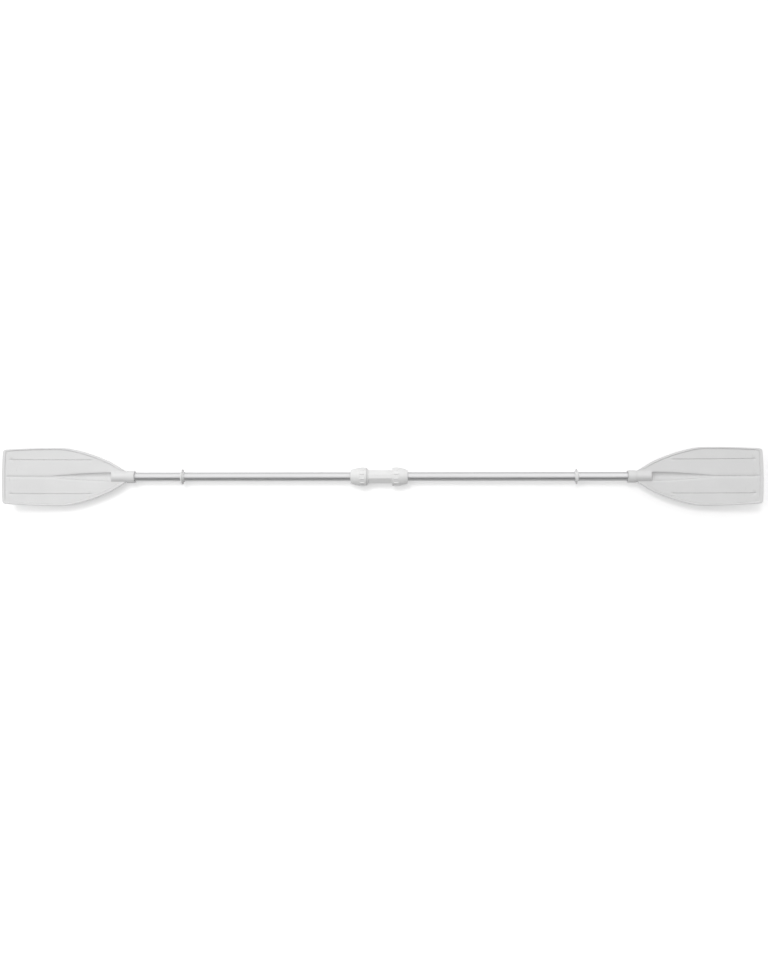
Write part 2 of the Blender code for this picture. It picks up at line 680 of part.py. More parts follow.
def rivet_hole_mesh():
    """Cutter for the rivet's hole, along Z through the socket's underside."""
    outer = neck_radius + 2 * RIVET_HEAD_HEIGHT
    inner = TUBE_RADIUS - 2 * TUBE_WALL
    shape = spin_profile([(inner, 0), (inner, RIVET_SHANK_RADIUS + CLEARANCE),
                          (outer, RIVET_SHANK_RADIUS + CLEARANCE), (outer, 0)], RIVET_STEPS)
    down = Matrix.Rotation(math.pi / 2, 4, "Y")
    bmesh.ops.transform(shape, matrix=down, verts=shape.verts)
    return finish_mesh(shape, "rivet_hole")


def moved(mesh, x):
    """Slide a mesh along X, in its own frame."""
    mesh.transform(Matrix.Translation((x, 0, 0)))
    return mesh


def add_half(side, facts, materials):
    """Add one half of the paddle: coupling nut and its rings, tube, drip ring and blade."""
    half = bpy.data.objects.new(side + "_half", None)
    bpy.context.scene.collection.objects.link(half)
    half.location = (0, 0, axis_height)
    half.rotation_euler = (0, 0, facts["turn"])
    backed_off = facts["nut_backed_off"]
    plastic = materials["plastic"]
    place(side + "_coupler_nut", nut_mesh(), plastic, half, nut_home + backed_off)
    place(side + "_packing_bush", bush_mesh(), materials["acetal"], half, backed_off)
    grip_ring = place(side + "_grip_ring", grip_ring_mesh(), materials["acetal"], half,
                      backed_off)
    cut(grip_ring, grip_slit_mesh())
    place(side + "_seal_ring", seal_ring_mesh(), materials["rubber"], half)
    tube = place(side + "_shaft_tube", tube_mesh(), materials["aluminium"], half)
    inner_plug = moved(plug_mesh(), tube_start + PLUG_RECESS)
    place(side + "_inner_plug", inner_plug, materials["plug"], half)
    outer_plug = plug_mesh()
    outer_plug.transform(Matrix.Rotation(math.pi, 4, "Z"))
    place(side + "_outer_plug", moved(outer_plug, tube_end - PLUG_RECESS),
          materials["plug"], half)
    ring_x = collar_inner_end - facts["ring_from_collar"]
    place(side + "_drip_ring", drip_ring_mesh(), materials["soft_plastic"], half, ring_x)
    place(side + "_blade_collar", collar_mesh(), plastic, half, collar_inner_end)
    blade = place(side + "_blade", blade_mesh(), plastic, half, collar_inner_end)
    bore_end = SOCKET_LENGTH - SOCKET_END_WALL
    cut(blade, rod_mesh(-SOCKET_LENGTH, bore_end, bore_radius, ROUND_STEPS))
    cut(blade, moved(rivet_hole_mesh(), rivet_x - collar_inner_end))
    cut(tube, moved(rivet_hole_mesh(), rivet_x))
    place(side + "_blade_rivet", rivet_mesh(), materials["rivet"], half, rivet_x)


def main():
    clear_scene()
    materials = {
        "plastic": make_material("white_plastic", (0.79, 0.79, 0.78), 0.42),
        "soft_plastic": make_material("white_soft_plastic", (0.72, 0.72, 0.71), 0.5),
        "aluminium": make_material("satin_aluminium", (0.62, 0.62, 0.63), 0.32, 1.0),
        "rivet": make_material("rivet_aluminium", (0.58, 0.58, 0.59), 0.35, 1.0),
        "acetal": make_material("acetal", (0.83, 0.83, 0.8), 0.4),
        "plug": make_material("plug_plastic", (0.06, 0.06, 0.06), 0.5),
        "rubber": make_material("black_rubber", (0.03, 0.03, 0.03), 0.7),
    }
    middle = bpy.data.objects.new("coupling_axis", None)
    bpy.context.scene.collection.objects.link(middle)
    middle.location = (0, 0, axis_height)
    place("coupler_body", coupler_body_mesh(), materials["plastic"], middle)
    for side, facts in SIDES.items():
        add_half(side, facts, materials)
    bpy.context.view_layer.update()


main()
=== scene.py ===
"""Looks of a double-bladed take-apart oar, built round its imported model.

Run as a script in Blender. It adds a panel to the 3D view's sidebar with one operator for
each piece or group of like pieces, and then calls them in order. Lengths are in metres, X
runs along the shaft and Z is up. Pieces of a half are modelled on the right-hand half,
with x counted outward from the middle of the coupling, and copied by a half turn.
"""

import math

import bpy
import numpy as np
from bpy.props import FloatProperty, FloatVectorProperty, IntProperty, PointerProperty
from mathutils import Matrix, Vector


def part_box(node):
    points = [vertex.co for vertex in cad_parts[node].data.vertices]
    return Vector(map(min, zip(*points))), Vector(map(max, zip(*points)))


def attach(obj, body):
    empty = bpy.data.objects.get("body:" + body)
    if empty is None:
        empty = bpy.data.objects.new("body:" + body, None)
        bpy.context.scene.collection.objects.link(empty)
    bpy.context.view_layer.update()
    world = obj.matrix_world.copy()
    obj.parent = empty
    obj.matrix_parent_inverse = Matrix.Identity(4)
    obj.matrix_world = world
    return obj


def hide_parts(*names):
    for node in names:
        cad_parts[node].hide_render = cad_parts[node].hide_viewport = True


bl_info = {
    "name": "Take-apart oar",
    "version": (1, 0, 0),
    "blender": (4, 5, 0),
    "location": "View3D > Sidebar > Oar",
    "description": "Models and finishes a double-bladed take-apart oar",
    "category": "Add Mesh",
}

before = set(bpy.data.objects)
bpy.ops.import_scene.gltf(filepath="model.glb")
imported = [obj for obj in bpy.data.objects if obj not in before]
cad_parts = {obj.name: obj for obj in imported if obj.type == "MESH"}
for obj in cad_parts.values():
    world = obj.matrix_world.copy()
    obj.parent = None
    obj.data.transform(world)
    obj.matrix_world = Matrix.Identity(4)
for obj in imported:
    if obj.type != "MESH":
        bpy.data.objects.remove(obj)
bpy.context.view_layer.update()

MM = 0.001
MERGE_DISTANCE = 0.001 * MM

# Roundings of edges, from the sharpest to the roundest, and the play between moving pieces
SHARP_EDGE = 0.2 * MM
FINE_EDGE = 0.3 * MM
SMALL_EDGE = 0.4 * MM
SOFT_EDGE = 0.5 * MM
ROUND_EDGE = 0.6 * MM
PLAY = 0.3 * MM

# Size of the photograph in pixels, and the floor under the oar
IMAGE_WIDTH, IMAGE_HEIGHT = 768, 960
FLOOR_SIDE = 40
FLOOR_GAP = 0.05 * MM

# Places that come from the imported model
tube_low, tube_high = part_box("right_shaft_tube")
collar_low, collar_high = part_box("right_blade_collar")
nut_low, nut_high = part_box("right_coupler_nut")
ring_low, ring_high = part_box("right_drip_ring")
left_ring_low, left_ring_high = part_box("left_drip_ring")
bush_low, bush_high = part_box("right_packing_bush")
grip_low, grip_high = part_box("right_grip_ring")
seal_low, seal_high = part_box("right_seal_ring")
rivet_low, rivet_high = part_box("right_blade_rivet")
spigot_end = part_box("coupler_body")[1].x
blade_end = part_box("right_blade")[1].x
axis_height = (tube_low.z + tube_high.z) / 2
tube_radius = (tube_high.z - tube_low.z) / 2
rivet_x = (rivet_low.x + rivet_high.x) / 2
left_nut_back = -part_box("left_coupler_nut")[1].x - nut_low.x
left_ring_back = -(left_ring_low.x + left_ring_high.x) / 2 - (ring_low.x + ring_high.x) / 2


def number(name, description, default, **options):
    """A number that a user may change."""
    return FloatProperty(name=name, description=description, default=default, **options)


def whole(name, description, default, least):
    """A whole number that a user may change."""
    return IntProperty(name=name, description=description, default=default, min=least)


def length(name, description, default):
    """A length that a user may change."""
    return number(name, description, default, min=0.0, precision=5, unit="LENGTH")


def degrees(name, description, default):
    """An angle that a user may change, given in degrees."""
    return number(name, description, math.radians(default), subtype="ANGLE")


def share(name, description, default):
    """A share from 0 to 1 that a user may change."""
    return number(name, description, default, min=0.0, max=1.0, subtype="FACTOR")


def colour(name, description, default):
    """A colour that a user may change."""
    return FloatVectorProperty(name=name, description=description, default=default, size=3,
                               min=0.0, max=1.0, subtype="COLOR")


def lengths(name, description, default):
    """Several lengths that a user may change, such as a place."""
    return FloatVectorProperty(name=name, description=description, default=default,
                               size=len(default), unit="LENGTH")


class FinishSettings(bpy.types.PropertyGroup):
    """Colours of the oar's materials."""

    white_plastic: colour("Blade plastic", "Blades and collars", (0.77, 0.77, 0.77))
    coupling_plastic: colour("Coupling plastic", "Coupling body and nuts", (0.86, 0.86, 0.857))
    soft_plastic: colour("Soft plastic", "Drip rings", (0.84, 0.84, 0.84))
    tube: colour("Tube", "Satin anodised aluminium", (0.65, 0.65, 0.655))
    rivet: colour("Rivet", "Plain aluminium", (0.58, 0.58, 0.59))
    acetal: colour("Acetal", "Bushes and split rings", (0.8, 0.8, 0.77))
    plug: colour("Plug", "Tube plugs", (0.06, 0.06, 0.06))
    rubber: colour("Rubber", "Seal rings", (0.03, 0.03, 0.03))
    scuff: colour("Scuffs", "Rubbed marks on the blades' tips", (0.6, 0.6, 0.59))


class CouplingSettings(bpy.types.PropertyGroup):
    """Sizes of the coupling's body and nuts."""

    narrow_apothem: length("Narrow flats", "From the axis to a narrow flat", 19.35 * MM)
    wide_apothem: length("Wide flats", "From the axis to a wide flat", 17.75 * MM)
    corner_round: length("Corner rounding", "Rounding between the flats", 0.35 * MM)
    flats_half_length: length("Half length of the flats", "From the middle to a shoulder",
                              34.3 * MM)
    shoulder_length: length("Shoulder length", "Length of the conical shoulder", 5 * MM)
    shoulder_foot: length("Shoulder foot", "Radius of the shoulder's small end", 21 * MM)
    shoulder_radius: length("Shoulder radius", "Radius of the shoulder's rim", 25 * MM)
    spigot_radius: length("Spigot radius", "Radius over the screwed spigot's crests", 20 * MM)
    mouth_radius: length("Mouth radius", "Radius of the seat for the seal", 16.9 * MM)
    mouth_depth: length("Mouth depth", "Depth of the seat for the seal", 14 * MM)
    bore_radius: length("Bore radius", "Radius of the bore for the tubes", 13 * MM)
    stop_half: length("Stop", "Half thickness of the wall between the tubes", 3 * MM)
    stop_bore: length("Stop bore", "Radius of the hole in that wall", 9 * MM)
    thread_pitch: length("Thread pitch", "Travel of a nut in one turn", 4 * MM)
    thread_depth: length("Thread depth", "Depth of the thread on the spigot", 1.1 * MM)
    nut_radius: length("Nut radius", "Radius of the nut at its wide end", 26.9 * MM)
    nut_counterbore: length("Nut counterbore", "Radius of the nut's mouth", 25.3 * MM)
    nut_nose: length("Nut nose", "Radius of the nut's narrow end", 19.3 * MM)
    nut_nose_round: length("Nose rounding", "Rounding of the narrow end", 2.2 * MM)
    nut_bulge: length("Nut bulge", "How far the taper swells over a cone", 0.6 * MM)
    taper_rings: whole("Taper rings", "Shallow rings on the taper", 2, 0)
    ring_start: length("Ring start", "From the wide end to the first ring", 27.8 * MM)
    ring_pitch: length("Ring pitch", "From one ring to the next", 8.9 * MM)
    ring_half: length("Ring half width", "Half width of a shallow ring", 1.1 * MM)
    ring_depth: length("Ring depth", "Depth of the shallow rings", 0.7 * MM)
    rib_count: whole("Ribs", "Grip ribs round a nut", 12, 3)
    nut_rim: length("Nut rim", "Length of the smooth rim at the wide end", 3 * MM)
    rib_start: length("Rib start", "From the wide end to the ribs", 4.6 * MM)
    rib_length: length("Rib length", "Length of a rib", 14.4 * MM)
    rib_height: length("Rib height", "How far a rib stands out", 1.29 * MM)
    rib_slope: length("Rib slope", "Width of a rib's sloping side", 1.45 * MM)
    belt_depth: length("Belt depth", "How deep the belt between the ribs lies", 0.8 * MM)


class ShaftSettings(bpy.types.PropertyGroup):
    """Sizes of the tubes, their plugs, the drip rings and the collars."""

    tube_wall: length("Tube wall", "Thickness of the tube's wall", 1.2 * MM)
    plug_wall: length("Plug wall", "Wall of a tube plug", 1.6 * MM)
    drip_radius: length("Drip ring radius", "Radius of the drip ring's lip", 22.3 * MM)
    drip_hub: length("Drip ring hub", "Radius of the drip ring's hub", 14.8 * MM)
    drip_lean: length("Lip lean", "How far the lip leans to the coupling", 1.5 * MM)
    drip_lip: length("Lip thickness", "Thickness of the lip", 2.2 * MM)
    collar_edge: length("Collar edge", "Rounding of the collar's edges", 1.2 * MM)
    collar_groove: length("Collar groove", "Depth of the collar's shallow grooves", 0.35 * MM)
    collar_grooves: whole("Collar grooves", "Grooves on a collar", 5, 1)


class BladeSettings(bpy.types.PropertyGroup):
    """Sizes of a blade, counted from the collar's inner end."""

    socket_radius: length("Socket radius", "Outer radius of the socket", 14.8 * MM)
    socket_length: length("Socket length", "Where the socket ends and the trough starts",
                          65 * MM)
    bore_depth: length("Bore depth", "Depth of the socket's bore", 62.7 * MM)
    step_length: length("Step length", "Length of the slope into the trough", 10 * MM)
    neck_length: length("Neck length", "Where the wings start", 23.6 * MM)
    root_length: length("Wing root length", "Length over which the wings grow", 9 * MM)
    root_half_width: length("Wing root", "Half width at the end of the wings' root", 20.6 * MM)
    root_slope: share("Root slope", "How fast the wings widen there", 0.638)
    shoulder_start: length("Shoulder start", "Where the shoulder's curve starts", 35 * MM)
    shoulder_half_width: length("Shoulder width", "Half width there", 24.7 * MM)
    widest_at: length("Widest place", "Where the blade is widest", 215 * MM)
    half_width: length("Half width", "Half the blade's greatest width", 84.2 * MM)
    shoulder_run: length("Shoulder run", "Length of the shoulder's straight start", 37 * MM)
    shoulder_gain: length("Shoulder gain", "How much wider the blade gets on it", 23.5 * MM)
    shoulder_bend: length("Shoulder bend", "Length of the shoulder's straight end", 56 * MM)
    tip_half_width: length("Tip half width", "Half width at the tip", 79 * MM)
    tip_corner: length("Tip corner", "Radius of the tip's corners", 9 * MM)
    tip_bulge: length("Tip bulge", "How far the tip's middle stands out", 3 * MM)
    thickness: length("Thickness", "Thickness of the blade's sheet", 3.5 * MM)
    lift: length("Lift", "Front face over the axis at the neck", 7 * MM)
    tip_rise: length("Tip rise", "Spoon of the blade", 30 * MM)
    spoon_power: number("Spoon power", "Above 1 the tip curves more", 2.2, min=1.0)
    rim_shoulder: length("Shoulder rim", "Width of the rim on the shoulder and tip", 7 * MM)
    rim_side: length("Side rim", "Width of the rim on the sides", 5 * MM)
    rim_front: length("Front rim", "Height of the rim over the sheet", 1.25 * MM)
    panel_drop: length("Panel drop", "How much lower the front lies inside the rim", 0.5 * MM)
    rim_back: length("Back rim", "Height of the rim on the back", 1.0 * MM)
    rim_slope: length("Rim slope", "Width of the rim's sloping side", 0.9 * MM)
    crease: length("Crease", "Width of the narrow groove along the rim", 1.5 * MM)
    crease_depth: length("Crease depth", "Depth of that groove", 1.1 * MM)
    edge_round: length("Edge rounding", "Rounding of the blade's edge", 1.6 * MM)
    trough_length: length("Trough length", "Length of the trough", 182 * MM)
    trough_half_width: length("Trough", "Half width of the trough at the socket", 12.7 * MM)
    trough_depth: share("Trough depth", "Half of the depth against half the width", 0.565)
    trough_wall: length("Trough wall", "How much wider the spine is on the back", 2.4 * MM)
    groove_half: length("Groove", "Half width of a groove", 1.9 * MM)
    groove_depth: length("Groove depth", "Depth of the outer grooves", 2.6 * MM)
    groove_offset: length("Groove offset", "Outer grooves from the centre line", 49 * MM)
    groove_start: length("Groove start", "Where the outer grooves start", 122 * MM)
    groove_margin: length("Groove margin", "From the outer grooves to the tip", 15 * MM)
    groove_ramp: length("Groove ramp", "Length over which a groove runs out", 9 * MM)


class StageSettings(bpy.types.PropertyGroup):
    """Camera, lamps and floor."""

    view_elevation: degrees("View elevation", "Camera over the horizon", 88)
    view_distance: length("View distance", "From the camera to the coupling", 3.0)
    metres_per_pixel: length("Metres per pixel", "Scale of the view at the shaft", 2.895 * MM)
    coupling_column: number("Coupling column", "Pixel column of the coupling's middle", 380.1)
    coupling_row: number("Coupling row", "Pixel row of the coupling's middle", 476.65)
    view_roll: degrees("View roll", "How far the camera leans sideways", -0.06)
    view_side: degrees("View side", "Turn to the right-hand half's side", 1.2)
    sky: number("Sky", "Strength of the even light", 0.576)
    sky_lean: number("Sky lean", "How much stronger it is from behind the oar", 0.61)
    key_power: number("Key lamp", "Power of the lamp over the left-hand half", 11.7,
                      unit="POWER")
    key_place: lengths("Key place", "Middle of that lamp", (-1.1, 0.3, 2.3))
    key_size: lengths("Key size", "Length and width of that lamp", (1.6, 1.2))
    far_strength: number("Far lamp", "Strength of the far lamp", 0.54)
    far_place: lengths("Far place", "Where that lamp comes from", (-0.66, 1.2, 3.0))
    far_size: degrees("Far size", "How wide that lamp looks", 15)
    # The flag is a grey card that shows only in gloss: it paints a dark reflection on the
    # metal's near side
    flag_shade: share("Flag shade", "Grey of the card that darkens the metal's near side", 0.26)
    flag_angle: degrees("Flag angle", "Turn of that card from upright", -58)
    flag_width: length("Flag width", "Width of that card", 1.73)
    # The shine card glows and shows only in gloss: it paints the highlight on the metal
    shine: number("Shine", "Strength of the card that lights the metal", 1.38)
    shine_angle: degrees("Shine angle", "Turn of that card from upright", 39)
    shine_width: length("Shine width", "Width of that card", 2.2)
    card_distance: length("Card distance", "From the shaft to the two cards", 1.5)
    card_length: length("Card length", "Length of the two cards along the shaft", 8.0)
    floor_gain: number("Floor gain", "How much whiter the floor shows than it is lit", 1.24,
                       min=1.0)
    floor_glow: number("Floor glow", "Glow that the camera sees on it", 0.28)
    floor_gloss: share("Floor in gloss", "Share of the gain and glow that gloss shows", 0.25)
    floor: colour("Floor", "Colour of the floor", (0.8, 0.8, 0.8))


SETTINGS = {
    "oar_finish": FinishSettings,
    "oar_coupling": CouplingSettings,
    "oar_shaft": ShaftSettings,
    "oar_blade": BladeSettings,
    "oar_stage": StageSettings,
}


# Shapes

def deselect_all():
    """Leave nothing selected."""
    if bpy.context.object and bpy.context.object.mode != "OBJECT":
        bpy.ops.object.mode_set(mode="OBJECT")
    bpy.ops.object.select_all(action="DESELECT")


def make_active(piece):
    """Select one piece and make it the active one."""
    deselect_all()
    piece.select_set(True)
    bpy.context.view_layer.objects.active = piece


def edit_all(piece):
    """Enter edit mode with all of one piece selected."""
    make_active(piece)
    bpy.ops.object.mode_set(mode="EDIT")
    bpy.ops.mesh.select_all(action="SELECT")


def named(piece, name):
    """Name a piece and its mesh."""
    piece.name = name
    piece.data.name = name
    return piece


def close_shape(piece):
    """Merge what meets, drop loose edges and turn the faces outward."""
    edit_all(piece)
    bpy.ops.mesh.remove_doubles(threshold=MERGE_DISTANCE)
    bpy.ops.mesh.dissolve_degenerate(threshold=MERGE_DISTANCE)
    bpy.ops.mesh.select_all(action="SELECT")
    bpy.ops.mesh.delete_loose(use_verts=True, use_edges=True, use_faces=False)
    bpy.ops.mesh.select_all(action="SELECT")
    bpy.ops.mesh.normals_make_consistent(inside=False)
    bpy.ops.object.mode_set(mode="OBJECT")


def shade_piece(piece, sharp):
    """Shade a piece smooth but for its edges over this angle, in degrees."""
    make_active(piece)
    bpy.ops.object.shade_smooth_by_angle(angle=math.radians(sharp))


def rounded(points, steps):
    """Round an outline's corners. A point is (x, radius) or (x, radius, rounding)."""
    outline = []
    count = len(points)
    for index, point in enumerate(points):
        corner = np.array(point[:2], float)
        if len(point) < 3:
            outline.append(tuple(corner))
            continue
        before = np.array(points[index - 1][:2], float) - corner
        after = np.array(points[(index + 1) % count][:2], float) - corner
        reach = min(point[2], np.linalg.norm(before) / 2, np.linalg.norm(after) / 2)
        start = corner + before / np.linalg.norm(before) * reach
        end = corner + after / np.linalg.norm(after) * reach
        for step in range(steps + 1):
            t = step / steps
            outline.append(tuple((1 - t) ** 2 * start + 2 * t * (1 - t) * corner + t * t * end))
    return outline


def turned_piece(name, points, steps=96, corner_steps=4):
    """Spin a closed outline of (x, radius) points, rounded, round the shaft's axis."""
    outline = rounded(points, corner_steps)
    deselect_all()
    bpy.ops.mesh.primitive_circle_add(vertices=len(outline), radius=tube_radius)
    piece = named(bpy.context.object, name)
    places = [(x, 0.0, axis_height + radius) for x, radius in outline]
    piece.data.vertices.foreach_set("co", np.array(places, float).ravel())
    edit_all(piece)
    bpy.ops.mesh.spin(steps=steps, angle=math.tau, center=(0, 0, axis_height), axis=(1, 0, 0))
    close_shape(piece)
    return piece


def rolled_piece(name, rings):
    """Roll a grid round a piece, one row of the grid's points on each ring.

    A ring that is shrunk to a point or a line closes the end of the piece.
    """
    rings = np.asarray(rings, float)
    rows, points = rings.shape[:2]
    deselect_all()
    bpy.ops.mesh.primitive_grid_add(x_subdivisions=points, y_subdivisions=rows - 1, size=2)
    piece = named(bpy.context.object, name)
    flat = np.empty(len(piece.data.vertices) * 3)
    piece.data.vertices.foreach_get("co", flat)
    flat = flat.reshape(-1, 3)
    column = np.rint((flat[:, 0] + 1) / 2 * points).astype(int) % points
    row = np.rint((flat[:, 1] + 1) / 2 * (rows - 1)).astype(int)
    piece.data.vertices.foreach_set("co", rings[row, column].ravel())
    close_shape(piece)
    return piece


def ring_of(x, radius, angles):
    """Points of one ring round the axis. Angles turn from up towards the camera's side."""
    radius = np.broadcast_to(radius, angles.shape)
    return np.stack([np.full(angles.shape, x), -radius * np.sin(angles),
                     axis_height + radius * np.cos(angles)], axis=-1)


def select_faces(piece, wanted):
    """Select the faces whose middle passes the test, and enter edit mode."""
    make_active(piece)
    bpy.ops.object.mode_set(mode="EDIT")
    bpy.ops.mesh.select_mode(type="FACE")
    bpy.ops.mesh.select_all(action="DESELECT")
    bpy.ops.object.mode_set(mode="OBJECT")
    chosen = [wanted(polygon.center) for polygon in piece.data.polygons]
    if not any(chosen):
        raise RuntimeError(piece.name + " has no face there")
    piece.data.polygons.foreach_set("select", chosen)
    bpy.ops.object.mode_set(mode="EDIT")


def cut_away(piece, cutter):
    """Cut one mesh out of another and delete the cutter."""
    make_active(piece)
    boolean = piece.modifiers.new("Cut", "BOOLEAN")
    boolean.operation = "DIFFERENCE"
    boolean.solver = "EXACT"
    boolean.object = cutter
    bpy.ops.object.modifier_apply(modifier=boolean.name)
    bpy.data.objects.remove(cutter, do_unlink=True)


def half_turned_copy(piece, name, outward=0.0):
    """Copy a piece to the other half of the oar, moved outward by a distance."""
    make_active(piece)
    bpy.ops.object.duplicate()
    copy = named(bpy.context.object, name)
    edit_all(copy)
    bpy.ops.transform.translate(value=(outward, 0, 0))
    bpy.ops.transform.rotate(value=math.pi, orient_axis="Z", orient_type="GLOBAL",
                             center_override=(0, 0, 0))
    bpy.ops.object.mode_set(mode="OBJECT")
    return copy


def finish_piece(piece, finish, body, node):
    """Give a piece its material, and put it in the place of its node on its body."""
    piece.data.materials.clear()
    piece.data.materials.append(finish_of(finish))
    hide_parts(node)
    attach(piece, body)


def finish_pair(piece, finish, body, node, left_outward=0.0, sharp=32):
    """Shade and finish a right-hand piece, and a copy of it for the left-hand half."""
    shade_piece(piece, sharp)
    copy = half_turned_copy(piece, piece.name.replace("right_", "left_"), left_outward)
    finish_piece(piece, finish, "right_" + body, "right_" + node)
    finish_piece(copy, finish, "left_" + body, "left_" + node)


def smooth_share(value, low, high):
    """Go from 0 to 1 while value goes from low to high, with level ends."""
    part = np.clip((value - low) / (high - low), 0, 1)
    return part * part * (3 - 2 * part)


def rise_and_fall(value, start, full, fading, end):
    """Go from 0 to 1 between start and full, and back to 0 between fading and end."""
    return smooth_share(value, start, full) * (1 - smooth_share(value, fading, end))


def mix(first, second, part):
    """The value that lies this share of the way from first to second."""
    return first + (second - first) * part


def soft_upper(first, second, rounding):
    """The higher of two heights, with a rounded change from one to the other."""
    return (first + second + np.sqrt((first - second) ** 2 + rounding ** 2)) / 2


def soft_lower(first, second, rounding):
    """The lower of two heights, with a rounded change from one to the other."""
    return -soft_upper(-first, -second, rounding)


# Materials

def add_node(tree, kind, sockets=(), **settings):
    """Add a node with its settings, and set its sockets or link them to others."""
    node = tree.nodes.new("ShaderNode" + kind)
    for name, value in settings.items():
        setattr(node, name, value)
    for key, value in dict(sockets).items():
        if isinstance(value, bpy.types.NodeSocket):
            tree.links.new(value, node.inputs[key])
        else:
            node.inputs[key].default_value = value
    return node


def blank_material(name):
    """A material without any nodes, and its tree."""
    material = bpy.data.materials.new(name)
    material.use_nodes = True
    material.node_tree.nodes.clear()
    return material, material.node_tree


def opaque(source):
    """A colour with its alpha. A socket is left as it is."""
    return source if isinstance(source, bpy.types.NodeSocket) else (*source, 1.0)


def scaled(rgb, factor):
    """A colour made lighter or darker."""
    return tuple(min(1.0, part * factor) for part in rgb)


class Finish:
    """A Principled material under construction, with helpers for its nodes."""

    def __init__(self, name):
        self.material, self.tree = blank_material(name)
        self.shader = self.add("BsdfPrincipled")
        self.add("OutputMaterial", {"Surface": self.shader.outputs["BSDF"]})
        self.place = self.add("TexCoord").outputs["Object"]

    def add(self, kind, sockets=(), **settings):
        """Add a node to this material."""
        return add_node(self.tree, kind, sockets, **settings)

    def noise(self, scale, detail=2.0, roughness=0.5, stretch=(1, 1, 1)):
        """Noise in object space, as a value from 0 to 1. Scale is in features a metre."""
        mapping = self.add("Mapping", {"Vector": self.place, "Scale": stretch})
        texture = self.add("TexNoise", {"Vector": mapping.outputs["Vector"], "Scale": scale,
                                        "Detail": detail, "Roughness": roughness})
        return texture.outputs["Fac"]

    def spread(self, value, low, high, to_low=0.0, to_high=1.0):
        """Map a value's range to another."""
        node = self.add("MapRange", {"Value": value, "From Min": low, "From Max": high,
                                     "To Min": to_low, "To Max": to_high})
        return node.outputs["Result"]

    def times(self, first, second):
        """Product of two values."""
        return self.add("Math", {0: first, 1: second}, operation="MULTIPLY").outputs["Value"]

    def distance_along(self):
        """Distance from the coupling's middle, along the shaft."""
        split = self.add("SeparateXYZ", {"Vector": self.place})
        node = self.add("Math", {0: split.outputs["X"]}, operation="ABSOLUTE")
        return node.outputs["Value"]

    def tint(self, first, second, part):
        """Mix two colours, each a triple or a socket, by a value."""
        node = self.add("Mix", {"Factor": part, 6: opaque(first), 7: opaque(second)},
                        data_type="RGBA")
        return node.outputs[2]

    def bump(self, height, distance, strength, below=None):
        """Bump the surface by a height, over the bump below it."""
        sockets = {"Height": height, "Distance": distance, "Strength": strength}
        if below is not None:
            sockets["Normal"] = below
        return self.add("Bump", sockets).outputs["Normal"]

    def done(self, base, roughness, normal, **constants):
        """Feed the shader its colour, roughness and bump, and set its constants."""
        sockets = {"Base Color": base, "Roughness": roughness, "Normal": normal}
        for name, source in sockets.items():
            self.tree.links.new(source, self.shader.inputs[name])
        for name, value in constants.items():
            self.shader.inputs[name].default_value = value
        return self.material


def moulded_plastic(name, rgb, least_rough, most_rough, scuffed=False):
    """Moulded plastic: cloudy colour, fine spark grain, slight sink marks and flow lines."""
    finish = Finish(name)
    cloud = finish.spread(finish.noise(scale=14, detail=3), 0.35, 0.65)
    streaks = finish.noise(scale=120, detail=3, roughness=0.6, stretch=(0.12, 1, 1))
    flow = finish.spread(streaks, 0.4, 0.62)
    base = finish.tint(scaled(rgb, 0.975), scaled(rgb, 1.012), cloud)
    base = finish.tint(base, scaled(rgb, 0.985), finish.spread(flow, 0, 1, to_high=0.5))
    if scuffed:
        specks = finish.noise(scale=260, detail=4, roughness=0.65, stretch=(1, 0.16, 1))
        towards_tip = finish.spread(finish.distance_along(), 0.985, 1.088)
        scuffs = finish.times(finish.spread(specks, 0.6, 0.7),
                              finish.spread(towards_tip, 0, 1, to_high=0.55))
        base = finish.tint(base, bpy.context.scene.oar_finish.scuff, scuffs)
    sink = finish.bump(finish.noise(scale=38, detail=1), distance=0.5 * MM, strength=0.12)
    grain = finish.bump(finish.noise(scale=1700, roughness=0.6), distance=0.05 * MM,
                        strength=0.35, below=sink)
    return finish.done(base, finish.spread(flow, 0, 1, least_rough, most_rough), grain,
                       IOR=1.49)


def drawn_aluminium(name, rgb):
    """Anodised tube: fine die lines along it, faint rubbed rings across it."""
    finish = Finish(name)
    lines = finish.noise(scale=900, detail=4, roughness=0.7, stretch=(0.001, 1, 1))
    cloud = finish.noise(scale=9, detail=3)
    rubs = finish.noise(scale=420, detail=3, roughness=0.6, stretch=(1, 0.05, 0.05))
    base = finish.tint(scaled(rgb, 0.93), scaled(rgb, 1.05), finish.spread(lines, 0.3, 0.7))
    base = finish.tint(base, scaled(rgb, 1.12), finish.spread(rubs, 0.62, 0.75, to_high=0.4))
    return finish.done(base, finish.spread(cloud, 0.3, 0.7, to_low=0.4, to_high=0.47),
                       finish.bump(lines, distance=0.02 * MM, strength=0.15), Metallic=1.0)


def turned_acetal(name, rgb):
    """Machined acetal: fine turning marks across the axis."""
    finish = Finish(name)
    marks = finish.noise(scale=2600, stretch=(1, 0.02, 0.02))
    base = finish.tint(scaled(rgb, 0.95), rgb, finish.spread(marks, 0.35, 0.65))
    return finish.done(base, finish.spread(marks, 0.3, 0.7, to_low=0.3, to_high=0.42),
                       finish.bump(marks, distance=0.03 * MM, strength=0.4))


def matt_rubber(name, rgb):
    """Rubber: matt, with a dusty bloom."""
    finish = Finish(name)
    dust = finish.noise(scale=160, detail=4, roughness=0.6)
    base = finish.tint(rgb, scaled(rgb, 2.4), finish.spread(dust, 0.45, 0.75))
    return finish.done(base, finish.spread(dust, 0.3, 0.7, to_low=0.6, to_high=0.8),
                       finish.bump(finish.noise(scale=2200), distance=0.04 * MM, strength=0.5))


